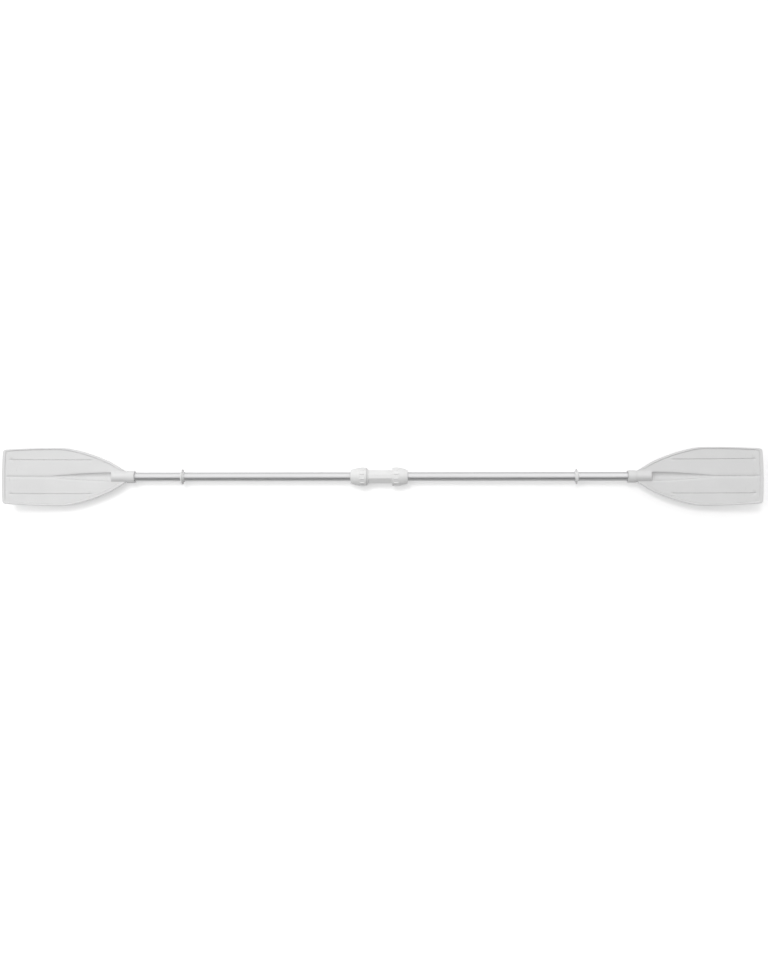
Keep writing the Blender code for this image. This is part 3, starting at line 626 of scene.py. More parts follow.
# Each finish: its slot, its colour among the settings, how it is made, and what that is given
FINISHES = {
    "Satin white plastic": ("white_plastic", "coupling_plastic", moulded_plastic, (0.4, 0.5)),
    "Blade plastic": ("white_plastic", "white_plastic", moulded_plastic, (0.42, 0.54, True)),
    "Soft white plastic": ("soft_plastic", "soft_plastic", moulded_plastic, (0.5, 0.6)),
    "Plug plastic": ("plug_plastic", "plug", moulded_plastic, (0.4, 0.55)),
    "Anodised tube": ("satin_aluminium", "tube", drawn_aluminium, ()),
    "Rivet aluminium": ("rivet_aluminium", "rivet", drawn_aluminium, ()),
    "Turned acetal": ("acetal", "acetal", turned_acetal, ()),
    "Seal rubber": ("black_rubber", "rubber", matt_rubber, ()),
}


def finish_of(name):
    """The material of this name, made at its first use."""
    made = bpy.data.materials.get(name)
    if made:
        return made
    setting, maker, given = FINISHES[name][1:]
    return maker(name, getattr(bpy.context.scene.oar_finish, setting), *given)


# Coupling

def flats_reach(coupling, angles):
    """Distance from the axis to the eight-sided outline in each direction."""
    eighth = math.pi / 4
    least_cosine = 0.2
    reach = None
    for face in range(8):
        apothem = coupling.wide_apothem if face % 2 else coupling.narrow_apothem
        here = apothem / np.maximum(np.cos(angles - face * eighth), least_cosine)
        reach = here if reach is None else soft_lower(reach, here, coupling.corner_round)
    return reach


def octagon_angles(coupling):
    """Angles round the body, close together at the corners between the flats."""
    half_face = coupling.wide_apothem * math.sqrt(2) - coupling.narrow_apothem
    corner = math.atan2(half_face, coupling.narrow_apothem)
    beside_corner = np.radians([0.35, 0.8, 1.5, 2.6, 4.5])
    over_wide_flat = math.pi / 4 + np.radians([-16, -8, 0, 8, 16])
    angles = []
    for quarter in range(4):
        middle = quarter * math.pi / 2
        for turn in (middle - corner, middle + corner):
            angles += [*(turn - beside_corner), turn, *(turn + beside_corner)]
        angles += [middle - corner / 2, middle, middle + corner / 2, *(middle + over_wide_flat)]
    return np.array(sorted(angle % math.tau for angle in angles))


def thread_groove(coupling, x, angles):
    """Depth of the thread's groove, from 0 on the crest to 1 at the root."""
    crest_share = 0.3
    flank_share = 0.4
    turn = (x / coupling.thread_pitch - angles / math.tau) % 1
    return np.clip((np.abs(2 * turn - 1) - crest_share) / flank_share, 0, 1)


def body_rings(coupling):
    """Rings of the coupling's body: over the outside from one end to the other, and back."""
    angles = octagon_angles(coupling)
    flats = flats_reach(coupling, angles)
    flats_end = coupling.flats_half_length
    face = flats_end + coupling.shoulder_length
    rim_length = 0.9 * MM
    chamfer = 0.8 * MM
    mouth_start = spigot_end - coupling.mouth_depth
    thread_steps = 110
    shoulder = rounded([
        (flats_end, coupling.shoulder_foot),
        (flats_end + SHARP_EDGE, coupling.shoulder_foot),
        (face - rim_length, coupling.shoulder_radius, ROUND_EDGE),
        (face, coupling.shoulder_radius, SOFT_EDGE),
        (face, coupling.spigot_radius),
    ], 4)[:-1]
    inside = rounded([
        (spigot_end, coupling.spigot_radius - chamfer),
        (spigot_end, coupling.mouth_radius, SMALL_EDGE),
        (mouth_start, coupling.mouth_radius, FINE_EDGE),
        (mouth_start, coupling.bore_radius, FINE_EDGE),
        (coupling.stop_half, coupling.bore_radius, FINE_EDGE),
        (coupling.stop_half, coupling.stop_bore, SOFT_EDGE),
        (0.0, coupling.stop_bore),
    ], 4)
    run_in = (face + 1.5 * MM, face + 3 * MM)
    run_out = (spigot_end - 3 * MM, spigot_end - 1.2 * MM)

    def half(side):
        """Rings from the middle over one half and back through it. Side is 1 or -1."""
        spigot = []
        for step in range(thread_steps + 1):
            x = mix(face, spigot_end - chamfer, step / thread_steps)
            depth = coupling.thread_depth * rise_and_fall(x, *run_in, *run_out)
            groove = thread_groove(coupling, side * x, angles)
            spigot.append((x, coupling.spigot_radius - depth * groove))
        outline = [(0.0, flats), (flats_end - SOFT_EDGE, flats), (flats_end, flats),
                   *shoulder, *spigot, *inside]
        return [ring_of(side * x, radius, angles) for x, radius in outline]

    return half(1) + half(-1)[::-1]


def nut_rings(coupling):
    """Rings of a nut, with x from its wide end: over the outside, and back through it."""
    pitch = math.tau / coupling.rib_count
    shares = np.array([0, 0.08, 0.16, 0.24, 0.32, 0.5, 0.68, 0.76, 0.84, 0.92])
    angles = np.concatenate([pitch * (rib + shares) for rib in range(coupling.rib_count)])
    nut_length = nut_high.x - nut_low.x
    rib_end = coupling.rib_start + coupling.rib_length
    nose_start = nut_length - coupling.nut_nose_round
    nose_foot = coupling.nut_nose + coupling.nut_nose_round / 2
    mouth = tube_radius + 0.6 * MM
    bore = coupling.spigot_radius + PLAY
    belt = coupling.nut_radius - coupling.belt_depth
    belt_edge = 0.5 * MM
    taper_steps = 70
    taper = []
    for step in range(1, taper_steps):
        part = step / taper_steps
        x = mix(rib_end + belt_edge, nose_start, part)
        straight = mix(coupling.nut_radius, nose_foot, part)
        ring = 0.0
        for index in range(coupling.taper_rings):
            middle = coupling.ring_start + index * coupling.ring_pitch
            off = min(1.0, abs(x - middle) / coupling.ring_half)
            ring += coupling.ring_depth * (0.5 + 0.5 * math.cos(math.pi * off))
        taper.append((x, straight + coupling.nut_bulge * math.sin(math.pi * part) - ring))
    outside = rounded([
        (0.0, coupling.nut_counterbore, SMALL_EDGE),
        (0.0, coupling.nut_radius, 2 * SMALL_EDGE),
        (coupling.nut_rim, coupling.nut_radius, SHARP_EDGE),
        (coupling.nut_rim + belt_edge / 2, belt, SHARP_EDGE),
        (coupling.rib_start, belt),
        (coupling.rib_start + coupling.rib_length / 2, belt),
        (rib_end, belt),
        (rib_end + belt_edge / 2, belt, SHARP_EDGE),
        (rib_end + belt_edge, coupling.nut_radius, SHARP_EDGE),
        *taper,
        (nut_length, coupling.nut_nose, 2 * coupling.nut_nose_round),
        (nut_length, mouth, SMALL_EDGE),
    ], 6)
    cone_start = grip_low.x - nut_low.x
    cone_end = grip_high.x + PLAY - nut_low.x
    cone_wide = (grip_high.z - grip_low.z) / 2 + 0.5 * MM
    cone_narrow = coupling.bore_radius + 2.66 * MM
    inside = rounded([
        (cone_end, mouth, SHARP_EDGE),
        (cone_end, cone_narrow, SHARP_EDGE),
        (cone_start, cone_wide, SHARP_EDGE),
    ], 4)
    rings = [ring_of(x, radius, angles) for x, radius in outside + inside]
    seat = coupling.shoulder_length
    thread_depth = 0.8 * MM
    thread_steps = 70
    run_in = (seat + 0.5 * MM, seat + 1.5 * MM)
    run_out = (cone_start - 3 * MM, cone_start - 1.5 * MM)
    for step in range(thread_steps + 1):
        x = mix(cone_start, seat, step / thread_steps)
        depth = thread_depth * rise_and_fall(x, *run_in, *run_out)
        groove = thread_groove(coupling, x + nut_low.x, angles)
        rings.append(ring_of(x, bore + depth * groove, angles))
    rings.append(ring_of(seat, coupling.nut_counterbore, angles))
    rings.append(rings[0])
    return np.array(rings) + (nut_low.x, 0, 0)


class OAR_OT_coupling_body(bpy.types.Operator):
    """Model the coupling's eight-sided body with its shoulders and screwed spigots"""

    bl_idname = "oar.coupling_body"
    bl_label = "Coupling body"

    def execute(self, context):
        body = rolled_piece("coupling_moulding", body_rings(context.scene.oar_coupling))
        shade_piece(body, 28)
        finish_piece(body, "Satin white plastic", "coupler", "coupler_body")
        return {"FINISHED"}


class OAR_OT_coupling_nuts(bpy.types.Operator):
    """Model the ribbed, tapered nuts"""

    bl_idname = "oar.coupling_nuts"
    bl_label = "Coupling nuts"

    def execute(self, context):
        coupling = context.scene.oar_coupling
        nut = rolled_piece("right_ribbed_nut", nut_rings(coupling))
        pitch = math.tau / coupling.rib_count
        start = nut_low.x + coupling.rib_start
        end = start + coupling.rib_length
        inner_limit = coupling.nut_counterbore + 0.5 * MM

        def on_rib(middle):
            turn = math.atan2(-middle.y, middle.z - axis_height)
            turned = (turn - pitch / 2) % pitch
            radius = math.hypot(middle.y, middle.z - axis_height)
            return (radius > inner_limit and start < middle.x < end
                    and min(turned, pitch - turned) < pitch / 6)

        select_faces(nut, on_rib)
        bpy.ops.mesh.inset(thickness=coupling.rib_slope,
                           depth=coupling.rib_height + coupling.belt_depth)
        bpy.ops.mesh.region_to_loop()
        bpy.ops.mesh.bevel(offset=ROUND_EDGE, segments=3, affect="EDGES")
        bpy.ops.object.mode_set(mode="OBJECT")
        finish_pair(nut, "Satin white plastic", "nut", "coupler_nut", left_nut_back, 30)
        return {"FINISHED"}


class OAR_OT_gland_rings(bpy.types.Operator):
    """Model the seal rings, packing bushes and split grip rings inside the nuts"""

    bl_idname = "oar.gland_rings"
    bl_label = "Seals, bushes and grip rings"

    def execute(self, context):
        coupling = context.scene.oar_coupling
        bore = coupling.bore_radius
        seal_radius = (seal_high.x - seal_low.x) / 2
        seal_steps = 20
        section = []
        for step in range(seal_steps):
            angle = math.tau * step / seal_steps
            section.append((seal_low.x + seal_radius * (1 + math.sin(angle)),
                            bore + seal_radius * (1 + math.cos(angle))))
        seal = turned_piece("right_rubber_seal", section, 80)
        finish_pair(seal, "Seal rubber", "seal", "seal_ring", sharp=60)

        flange = bush_high.x - 2 * MM
        outer = coupling.mouth_radius - PLAY
        flange_radius = outer + 1.9 * MM
        bush = turned_piece("right_turned_bush", [
            (bush_low.x, bore, FINE_EDGE),
            (bush_low.x, outer, SMALL_EDGE),
            (flange, outer),
            (flange, flange_radius, FINE_EDGE),
            (bush_high.x, flange_radius, FINE_EDGE),
            (bush_high.x, bore, FINE_EDGE),
        ])
        finish_pair(bush, "Turned acetal", "gland", "packing_bush", left_nut_back)

        grip_wide = bore + 5.3 * MM
        grip_narrow = bore + 2.3 * MM
        grip = turned_piece("right_split_ring", [
            (grip_low.x, bore, SHARP_EDGE),
            (grip_low.x, grip_wide, SMALL_EDGE),
            (grip_high.x, grip_narrow, FINE_EDGE),
            (grip_high.x, bore, SHARP_EDGE),
        ])
        cutter_length = 30 * MM
        split = 2.5 * MM
        deselect_all()
        bpy.ops.mesh.primitive_cube_add(
            size=1, location=((grip_low.x + grip_high.x) / 2, 0, axis_height + grip_wide),
            scale=(cutter_length, split, 2 * grip_wide))
        cut_away(grip, bpy.context.object)
        finish_pair(grip, "Turned acetal", "gland", "grip_ring", left_nut_back)
        return {"FINISHED"}


# Shaft

class OAR_OT_shaft_tubes(bpy.types.Operator):
    """Model the aluminium tubes, each with its rivet hole"""

    bl_idname = "oar.shaft_tubes"
    bl_label = "Shaft tubes"

    def execute(self, context):
        inner = tube_radius - context.scene.oar_shaft.tube_wall
        edge = 0.25 * MM
        tube = turned_piece("right_drawn_tube", [
            (tube_low.x, inner, edge),
            (tube_low.x, tube_radius, edge),
            (tube_high.x, tube_radius, edge),
            (tube_high.x, inner, edge),
        ], 128, 3)
        cut_away(tube, rivet_drill())
        finish_pair(tube, "Anodised tube", "shaft", "shaft_tube")
        return {"FINISHED"}


def rivet_drill():
    """A rod under the shaft, the size of the rivet's hole."""
    depth = 14 * MM
    hole = 1.9 * MM
    deselect_all()
    bpy.ops.mesh.primitive_cylinder_add(vertices=32, radius=hole, depth=depth,
                                        location=(rivet_x, 0, axis_height - depth))
    return bpy.context.object


class OAR_OT_tube_plugs(bpy.types.Operator):
    """Model the plugs in the ends of the tubes"""

    bl_idname = "oar.tube_plugs"
    bl_label = "Tube plugs"

    def execute(self, context):
        wall = context.scene.oar_shaft.plug_wall
        band_start, band_end = 4 * MM, 6.5 * MM
        band_slope = 0.5 * MM
        band_drop = 0.35 * MM
        for end in ("inner", "outer"):
            low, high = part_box("right_" + end + "_plug")
            outer = (high.z - low.z) / 2
            mouth, floor = (low.x, high.x) if end == "inner" else (high.x, low.x)
            inward = math.copysign(1, floor - mouth)
            plug = turned_piece("right_" + end + "_end_plug", [
                (floor - inward * wall, 0.0),
                (floor - inward * wall, outer - wall, ROUND_EDGE),
                (mouth, outer - wall, SMALL_EDGE),
                (mouth, outer, SMALL_EDGE),
                (mouth + inward * band_start, outer),
                (mouth + inward * (band_start + band_slope), outer - band_drop),
                (mouth + inward * (band_end - band_slope), outer - band_drop),
                (mouth + inward * band_end, outer),
                (floor, outer, 2 * ROUND_EDGE),
                (floor, 0.0),
            ], 80)
            finish_pair(plug, "Plug plastic", "shaft", end + "_plug")
        return {"FINISHED"}


class OAR_OT_drip_rings(bpy.types.Operator):
    """Model the cupped drip rings"""

    bl_idname = "oar.drip_rings"
    bl_label = "Drip rings"

    def execute(self, context):
        shaft = context.scene.oar_shaft
        bore = context.scene.oar_coupling.bore_radius
        hub = shaft.drip_hub
        start, end = ring_low.x, ring_high.x
        outside = []
        inside = []
        steps = 14
        cup_power = 0.8
        thinning = 0.5 * MM
        lip_round = 0.9 * MM
        back_length, front_length = 4.4 * MM, 1.6 * MM
        front_swell, front_taper = 0.4 * MM, 0.6 * MM
        for step in range(1, steps + 1):
            angle = math.pi / 2 * step / steps
            radius = hub + (shaft.drip_radius - hub) * math.sin(angle) ** cup_power
            x = end - shaft.drip_lip - shaft.drip_lean * (1 - math.cos(angle))
            outside.append((x, radius))
            inside.append((x - shaft.drip_lip, radius - thinning))
        ring = turned_piece("right_drip_cup", [
            (start, bore, FINE_EDGE),
            (start, hub, SOFT_EDGE),
            (end - back_length, hub, ROUND_EDGE),
            *inside[1:-1],
            (outside[-1][0] - shaft.drip_lip, shaft.drip_radius, lip_round),
            *reversed(outside[1:]),
            (end - front_length, hub + front_swell, ROUND_EDGE),
            (end, hub - front_taper, SOFT_EDGE),
            (end, bore, FINE_EDGE),
        ], 128)
        finish_pair(ring, "Soft white plastic", "drip", "drip_ring", left_ring_back, 40)
        return {"FINISHED"}


class OAR_OT_blade_collars(bpy.types.Operator):
    """Model the collars that close the blades' sockets on the tubes"""

    bl_idname = "oar.blade_collars"
    bl_label = "Blade collars"

    def execute(self, context):
        shaft = context.scene.oar_shaft
        bore = context.scene.oar_coupling.bore_radius
        seat = context.scene.oar_blade.socket_radius + PLAY
        outer = (collar_high.z - collar_low.z) / 2
        start, end = collar_low.x, collar_high.x
        step = start + 3 * MM
        groove_half = 0.9 * MM
        first_groove, last_groove = start + 4 * MM, end - 3 * MM
        ridges = []
        for place in np.linspace(first_groove, last_groove, shaft.collar_grooves):
            ridges += [(place - groove_half, outer, FINE_EDGE),
                       (place, outer - shaft.collar_groove, FINE_EDGE),
                       (place + groove_half, outer, FINE_EDGE)]
        collar = turned_piece("right_socket_collar", [
            (start, bore, FINE_EDGE),
            (start, outer, shaft.collar_edge),
            *ridges,
            (end, outer, shaft.collar_edge),
            (end, seat, SMALL_EDGE),
            (step, seat, FINE_EDGE),
            (step, bore, FINE_EDGE),
        ], 128)
        finish_pair(collar, "Blade plastic", "shaft", "blade_collar")
        return {"FINISHED"}


# Blades

def tip_places(blade):
    """Where the tip's corners start and where the sides end, from the collar's inner end."""
    end = blade_end - collar_low.x - blade.tip_bulge
    return end - blade.tip_corner, end


def part_along(along, start, run):
    """Share of a run that lies behind this place, from 0 to 1."""
    return min(1.0, max(0.0, (along - start) / run))


def blade_side(blade, along):
    """Half the blade's width at each distance from the collar's inner end."""
    along = np.asarray(along, float)
    wing_start = blade.neck_length + blade.root_length
    corner_start, end = tip_places(blade)
    t = np.linspace(0, 1, 200)

    def curve(first, second, third, last):
        """A cubic curve that is pulled by its two middle values."""
        return ((1 - t) ** 3 * first + 3 * t * (1 - t) ** 2 * second
                + 3 * t ** 2 * (1 - t) * third + t ** 3 * last)

    curve_x = curve(blade.shoulder_start, blade.shoulder_start + blade.shoulder_run,
                    blade.widest_at - blade.shoulder_bend, blade.widest_at)
    curve_y = curve(blade.shoulder_half_width, blade.shoulder_half_width + blade.shoulder_gain,
                    blade.half_width, blade.half_width)
    line = blade.root_half_width + blade.root_slope * (along - wing_start)
    root_round = 1 * MM
    shoulder = soft_lower(line, np.interp(along, curve_x, curve_y), root_round)
    part = np.clip((along - blade.widest_at) / (corner_start - blade.widest_at), 0, 1)
    side = blade.half_width - (blade.half_width - blade.tip_half_width) * part ** 2
    into = np.clip(along - corner_start, 0, blade.tip_corner)
    tip = side - blade.tip_corner + np.sqrt(blade.tip_corner ** 2 - into ** 2)
    wing = np.where(along <= blade.widest_at, shoulder, tip)
    return np.where(along <= wing_start, blade.root_half_width, wing)


def sheet_height(blade, along):
    """Height of the blade's front face over the axis, without rim or grooves."""
    run = blade_end - collar_low.x - blade.socket_length
    part = part_along(along, blade.socket_length, run)
    return blade.lift + blade.tip_rise * part ** blade.spoon_power


def trough_side(blade, along):
    """Half width of the trough, which runs out into the middle groove."""
    narrowing_power = 1.7
    part = part_along(along, blade.socket_length, blade.trough_length)
    return mix(blade.trough_half_width, blade.groove_half, part ** narrowing_power)


def trough_shares(blade, along):
    """How far the front has changed to the trough, and the back to the spine under it."""
    start = blade.socket_length
    return (float(smooth_share(along, start, start + blade.step_length)),
            float(smooth_share(along, start, start + blade.trough_length / 3)))


def trough_curve(across):
    """Depth of the trough from 0 to 1, with a rounded lip. Across is 1 at its side."""
    lip_start = 0.93
    lip_end = 1.09
    inside = np.sqrt(np.clip(1 - across ** 2, 0, 1))
    start_depth = math.sqrt(1 - lip_start ** 2)
    start_slope = -lip_start / start_depth * (lip_end - lip_start)
    t = np.clip((across - lip_start) / (lip_end - lip_start), 0, 1)
    lip = ((2 * t ** 3 - 3 * t ** 2 + 1) * start_depth
           + (t ** 3 - 2 * t ** 2 + t) * start_slope)
    return np.where(across < lip_start, inside, np.maximum(lip, 0))


def rim_width(blade, along):
    """Width of the rim: wide on the shoulder, narrow on the sides."""
    past_widest = 20 * MM
    narrow = smooth_share(along, blade.widest_at - blade.shoulder_bend,
                          blade.widest_at + past_widest)
    return mix(blade.rim_shoulder, blade.rim_side, narrow)


def blade_lanes(blade, along, centre, boundary):
    """Distances from the centre line of the lengthwise lines, from the edge to the middle.

    The three limits keep the outer groove and the crease inside the blade's narrow root.
    """
    groove_limit = 0.87
    groove_half_limit = 0.6
    crease_limit = 0.8
    half_width = float(blade_side(blade, along))
    rim = min(rim_width(blade, along), (half_width - boundary) / 2)
    slope = min(blade.rim_slope, rim / 3)
    edge = min(blade.edge_round, rim / 3)
    foot = half_width - rim
    groove = min(blade.groove_offset, mix(boundary, foot, groove_limit))
    groove_half = min(blade.groove_half, (foot - groove) * groove_half_limit)
    groove_out, groove_in = groove + groove_half, groove - groove_half
    crease_end = foot - min(blade.crease, (foot - groove - groove_half) * crease_limit)
    return np.array([
        *(half_width - edge * part for part in (0, 0.08, 0.28, 0.6, 1)),
        *np.linspace(foot + slope, foot, 5),
        *np.linspace(foot, crease_end, 6)[1:],
        *np.linspace(crease_end, groove_out, 4)[1:-1],
        *(groove + groove_half * np.linspace(1, -1, 9)),
        *np.linspace(groove_in, boundary, 7)[1:],
        *(centre * part for part in (1.06, 1.0, 0.96)),
        *(centre * math.sin(math.radians(turn)) for turn in (66, 56, 46, 36, 26, 17, 8, 0)),
    ])


def blade_faces(blade, along, front_across, back_across):
    """Heights of the front and back faces at these distances from the centre line."""
    steepness = 3
    ahead = 0.5 * MM
    crease_start, crease_full = 30 * MM, 40 * MM
    bare_root, least_rim = 16 * MM, 6 * MM
    hump_round = 1.2 * MM
    socket_round, spine_round = 2.0 * MM, 0.8 * MM
    corner_start, end = tip_places(blade)
    half_width = float(blade_side(blade, along))
    slope = (float(blade_side(blade, along + ahead)) - half_width) / ahead
    lean = math.hypot(1, slope) if along < corner_start else 1.0
    tip_middle = blade.tip_half_width - blade.tip_corner
    front_sheet = sheet_height(blade, along)
    back_sheet = front_sheet - blade.thickness
    ramp = (smooth_share(along, blade.groove_start, blade.groove_start + blade.groove_ramp)
            * smooth_share(end - along, blade.groove_margin,
                           blade.groove_margin + blade.groove_ramp))
    run_out = smooth_share(end - along, blade.rim_shoulder,
                           blade.rim_shoulder + blade.groove_ramp)
    in_trough, in_spine = trough_shares(blade, along)
    trough = trough_side(blade, along)
    depth = 2 * blade.trough_depth * trough * run_out
    crease_fade = smooth_share(half_width, crease_start, crease_full)
    side_rim = min(rim_width(blade, along), max(half_width - bare_root, least_rim) / 2)

    def insets_of(across):
        """Distances from the blade's edge, and from the inner side of its rim."""
        side = (half_width - across) / lean
        tip = np.full_like(across, end - along)
        edge = np.minimum(side, tip)
        if along > corner_start:
            corner = blade.tip_corner - np.hypot(along - corner_start, across - tip_middle)
            edge = np.where(across > tip_middle, corner, edge)
        rim = soft_lower(side - side_rim, tip - blade.rim_shoulder, blade.tip_corner / 2)
        return np.maximum(edge, 0), rim

    def rim_and_edge(across):
        """Share of the rim's height, how far the rounded edge falls away, and the crease."""
        edge, inner = insets_of(across)
        rim = 1 - smooth_share(inner, -blade.rim_slope, 0)
        rounding = blade.edge_round
        into = rounding - np.minimum(edge, rounding)
        turn = math.tau * np.clip(inner / blade.crease, 0, 1)
        crease = blade.crease_depth * crease_fade * (0.5 - 0.5 * np.cos(turn))
        return rim, rounding - np.sqrt(np.maximum(rounding ** 2 - into ** 2, 0)), crease

    def groove_at(across):
        """Depth of the outer groove."""
        offset = np.clip((across - blade.groove_offset) / blade.groove_half, -1, 1)
        return blade.groove_depth * ramp * (0.5 + 0.5 * np.cos(math.pi * offset))

    def pipe_at(across):
        """Height of the round socket over the axis, falling steeply outside it."""
        inside = np.sqrt(np.clip(blade.socket_radius ** 2 - across ** 2, 0, None))
        return inside - steepness * np.maximum(across - blade.socket_radius, 0)

    rim, fall, crease = rim_and_edge(front_across)
    front = (front_sheet - blade.panel_drop + (blade.rim_front + blade.panel_drop) * rim
             - fall - crease - groove_at(front_across))
    hump = soft_upper(front, pipe_at(front_across), hump_round)
    bowl = front - depth * trough_curve(front_across / trough)

    rim, fall, crease = rim_and_edge(back_across)
    back = back_sheet - blade.rim_back * rim + fall - groove_at(back_across)
    spine_side = trough + blade.trough_wall
    spine = (back_sheet - depth * np.sqrt(np.clip(1 - (back_across / spine_side) ** 2, 0, 1))
             + steepness * np.maximum(back_across - spine_side, 0))
    under = mix(-pipe_at(back_across), spine, in_spine)
    rounding = mix(socket_round, spine_round, in_spine)
    return mix(hump, bowl, in_trough), soft_lower(back, under, rounding)


def blade_stations(blade):
    """Places of the blade's cross-sections, close together where its shape changes."""
    corner_start, end = tip_places(blade)
    root_end = blade.neck_length + blade.root_length
    step_end = blade.socket_length + blade.step_length
    groove_full = blade.groove_start + blade.groove_ramp
    groove_fading = end - blade.groove_margin - blade.groove_ramp
    socket_mouth = 3.3 * MM
    parts = [
        np.linspace(socket_mouth, blade.neck_length, 5),
        np.linspace(blade.neck_length, root_end, 14),
        np.linspace(root_end, blade.socket_length, 15),
        np.linspace(blade.socket_length, step_end, 15),
        np.linspace(step_end, blade.groove_start, 16),
        np.linspace(blade.groove_start, groove_full, 7),
        np.linspace(groove_full, groove_fading, 62),
        np.linspace(groove_fading, corner_start, 14),
        corner_start + blade.tip_corner * np.sin(np.radians(np.linspace(0, 90, 24))),
    ]
    return np.unique(np.round(np.concatenate(parts), 7))


def blade_ring(blade, along):
    """Points of one cross-section: the front from side to side, then the back."""
    arc_lanes = 8
    last_turn = 87
    clearance = 1.12
    radius = blade.socket_radius
    wings = part_along(along, blade.neck_length, blade.root_length)
    in_trough, in_spine = trough_shares(blade, along)
    trough = trough_side(blade, along)
    centre = mix(math.sqrt(radius ** 2 - blade.lift ** 2), trough, in_trough)
    spine = mix(radius, trough + blade.trough_wall, in_spine)
    front_across = blade_lanes(blade, along, centre, centre * clearance)
    back_across = blade_lanes(blade, along, spine, spine * clearance)

    def face_points(across, height, first_turn, side):
        """One face from its edge to the middle. Before the wings it wraps the socket."""
        outer = len(across) - arc_lanes
        fan = np.radians(mix(first_turn, last_turn, np.linspace(1, 0, outer)))
        turns = np.append(fan, np.arcsin(np.minimum(across[outer:] / radius, 1)))
        return (mix(radius * np.sin(turns), across, wings),
                mix(side * radius * np.cos(turns), height, wings))

    front, back = blade_faces(blade, along, front_across, back_across)
    front_y, front_z = face_points(front_across, front, 57, 1)
    back_y, back_z = face_points(back_across, back, 70, -1)
    y = np.concatenate([front_y, -front_y[-2::-1], -back_y, back_y[-2::-1]])
    z = np.concatenate([front_z, front_z[-2::-1], back_z, back_z[-2::-1]])
    end = tip_places(blade)[1]
    bulge = blade.tip_bulge * smooth_share(along, end - 2 * blade.rim_shoulder, end)
    x = collar_low.x + along + bulge * (1 - (y / blade.tip_half_width) ** 2)
    return np.stack([x, y, axis_height + z], axis=-1)


def blade_rings(blade, bore_radius):
    """All rings of a blade: out of the socket's bore, over the socket and on to the tip."""
    outside = [blade_ring(blade, along) for along in blade_stations(blade)]
    first, last = outside[0], outside[-1]
    angles = np.arctan2(-first[:, 1], first[:, 2] - axis_height)
    bore_end = collar_low.x + blade.bore_depth
    return [ring_of(bore_end, 0.0, angles), ring_of(bore_end, bore_radius, angles),
            ring_of(first[0, 0], bore_radius, angles), *outside, (last + last[::-1]) / 2]


class OAR_OT_blades(bpy.types.Operator):
    """Model the blades with their sockets, troughs, grooves and rims"""

    bl_idname = "oar.blades"
    bl_label = "Blades"

    def execute(self, context):
        blade = context.scene.oar_blade
        rings = blade_rings(blade, context.scene.oar_coupling.bore_radius)
        piece = rolled_piece("right_moulded_blade", rings)
        cut_away(piece, rivet_drill())
        finish_pair(piece, "Blade plastic", "shaft", "blade", sharp=38)
        return {"FINISHED"}


class OAR_OT_blade_rivets(bpy.types.Operator):
    """Model the blind rivets under the sockets"""

    bl_idname = "oar.blade_rivets"
    bl_label = "Blade rivets"

    def execute(self, context):
        head_face = context.scene.oar_blade.socket_radius + PLAY
        head = axis_height - rivet_low.z
        dome_radius = 3.3 * MM
        dimple, dimple_floor, dimple_rim = head - 0.5 * MM, 0.8 * MM, 1.0 * MM
        shank, bulb, bulb_tip = 1.6 * MM, 2.5 * MM, 1.5 * MM
        bulb_face = tube_radius - context.scene.oar_shaft.tube_wall - PLAY
        bulb_end = bulb_face - 2.2 * MM
        dome_steps = 7
        dome = []
        for step in range(1, dome_steps + 1):
            angle = math.pi / 2 * step / dome_steps
            dome.append((head_face + (head - head_face) * math.cos(angle),
                         dome_radius * math.sin(angle)))
        rivet = turned_piece("right_pop_rivet", [
            (dimple, 0.0),
            (dimple, dimple_floor),
            (head, dimple_rim),
            *dome,
            (head_face, shank),
            (bulb_face, shank),
            (bulb_face, bulb, SOFT_EDGE),
            (bulb_end, bulb_tip, SOFT_EDGE),
            (bulb_end, 0.0),
        ], 48)
        edit_all(rivet)
        bpy.ops.transform.rotate(value=-math.pi / 2, orient_axis="Y", orient_type="GLOBAL",
                                 center_override=(0, 0, axis_height))
        bpy.ops.transform.translate(value=(rivet_x, 0, 0))
        bpy.ops.object.mode_set(mode="OBJECT")
        finish_pair(rivet, "Rivet aluminium", "shaft", "blade_rivet")
        return {"FINISHED"}


# Stage

def seen_directly(tree, gloss_share=1.0):
    """1 for rays from the camera, a share of it off gloss or through clear pieces, else 0."""
    path = add_node(tree, "LightPath").outputs
    gloss = add_node(tree, "Math", {0: path["Is Glossy Ray"], 1: path["Is Transmission Ray"]},
                     operation="MAXIMUM")
    part = add_node(tree, "Math", {0: gloss.outputs["Value"], 1: gloss_share},
                    operation="MULTIPLY")
    seen = add_node(tree, "Math", {0: path["Is Camera Ray"], 1: part.outputs["Value"]},
                    operation="MAXIMUM")
    return seen.outputs["Value"]


def floor_material(stage):
    """A white floor that shows whiter than it is lit, and keeps the oar's shadow."""
    material, tree = blank_material("White floor")
    seen = seen_directly(tree, stage.floor_gloss)
    gain = add_node(tree, "MapRange", {"Value": seen, "To Min": 1.0,
                                       "To Max": stage.floor_gain})
    shown = add_node(tree, "VectorMath", {0: stage.floor, "Scale": gain.outputs["Result"]},
                     operation="SCALE")
    matt = add_node(tree, "BsdfDiffuse", {"Color": shown.outputs["Vector"]})
    strength = add_node(tree, "Math", {0: seen, 1: stage.floor_glow}, operation="MULTIPLY")
    glow = add_node(tree, "Emission", {"Strength": strength.outputs["Value"]})
    both = add_node(tree, "AddShader", {0: matt.outputs["BSDF"], 1: glow.outputs["Emission"]})
    add_node(tree, "OutputMaterial", {"Surface": both.outputs["Shader"]})
    return material


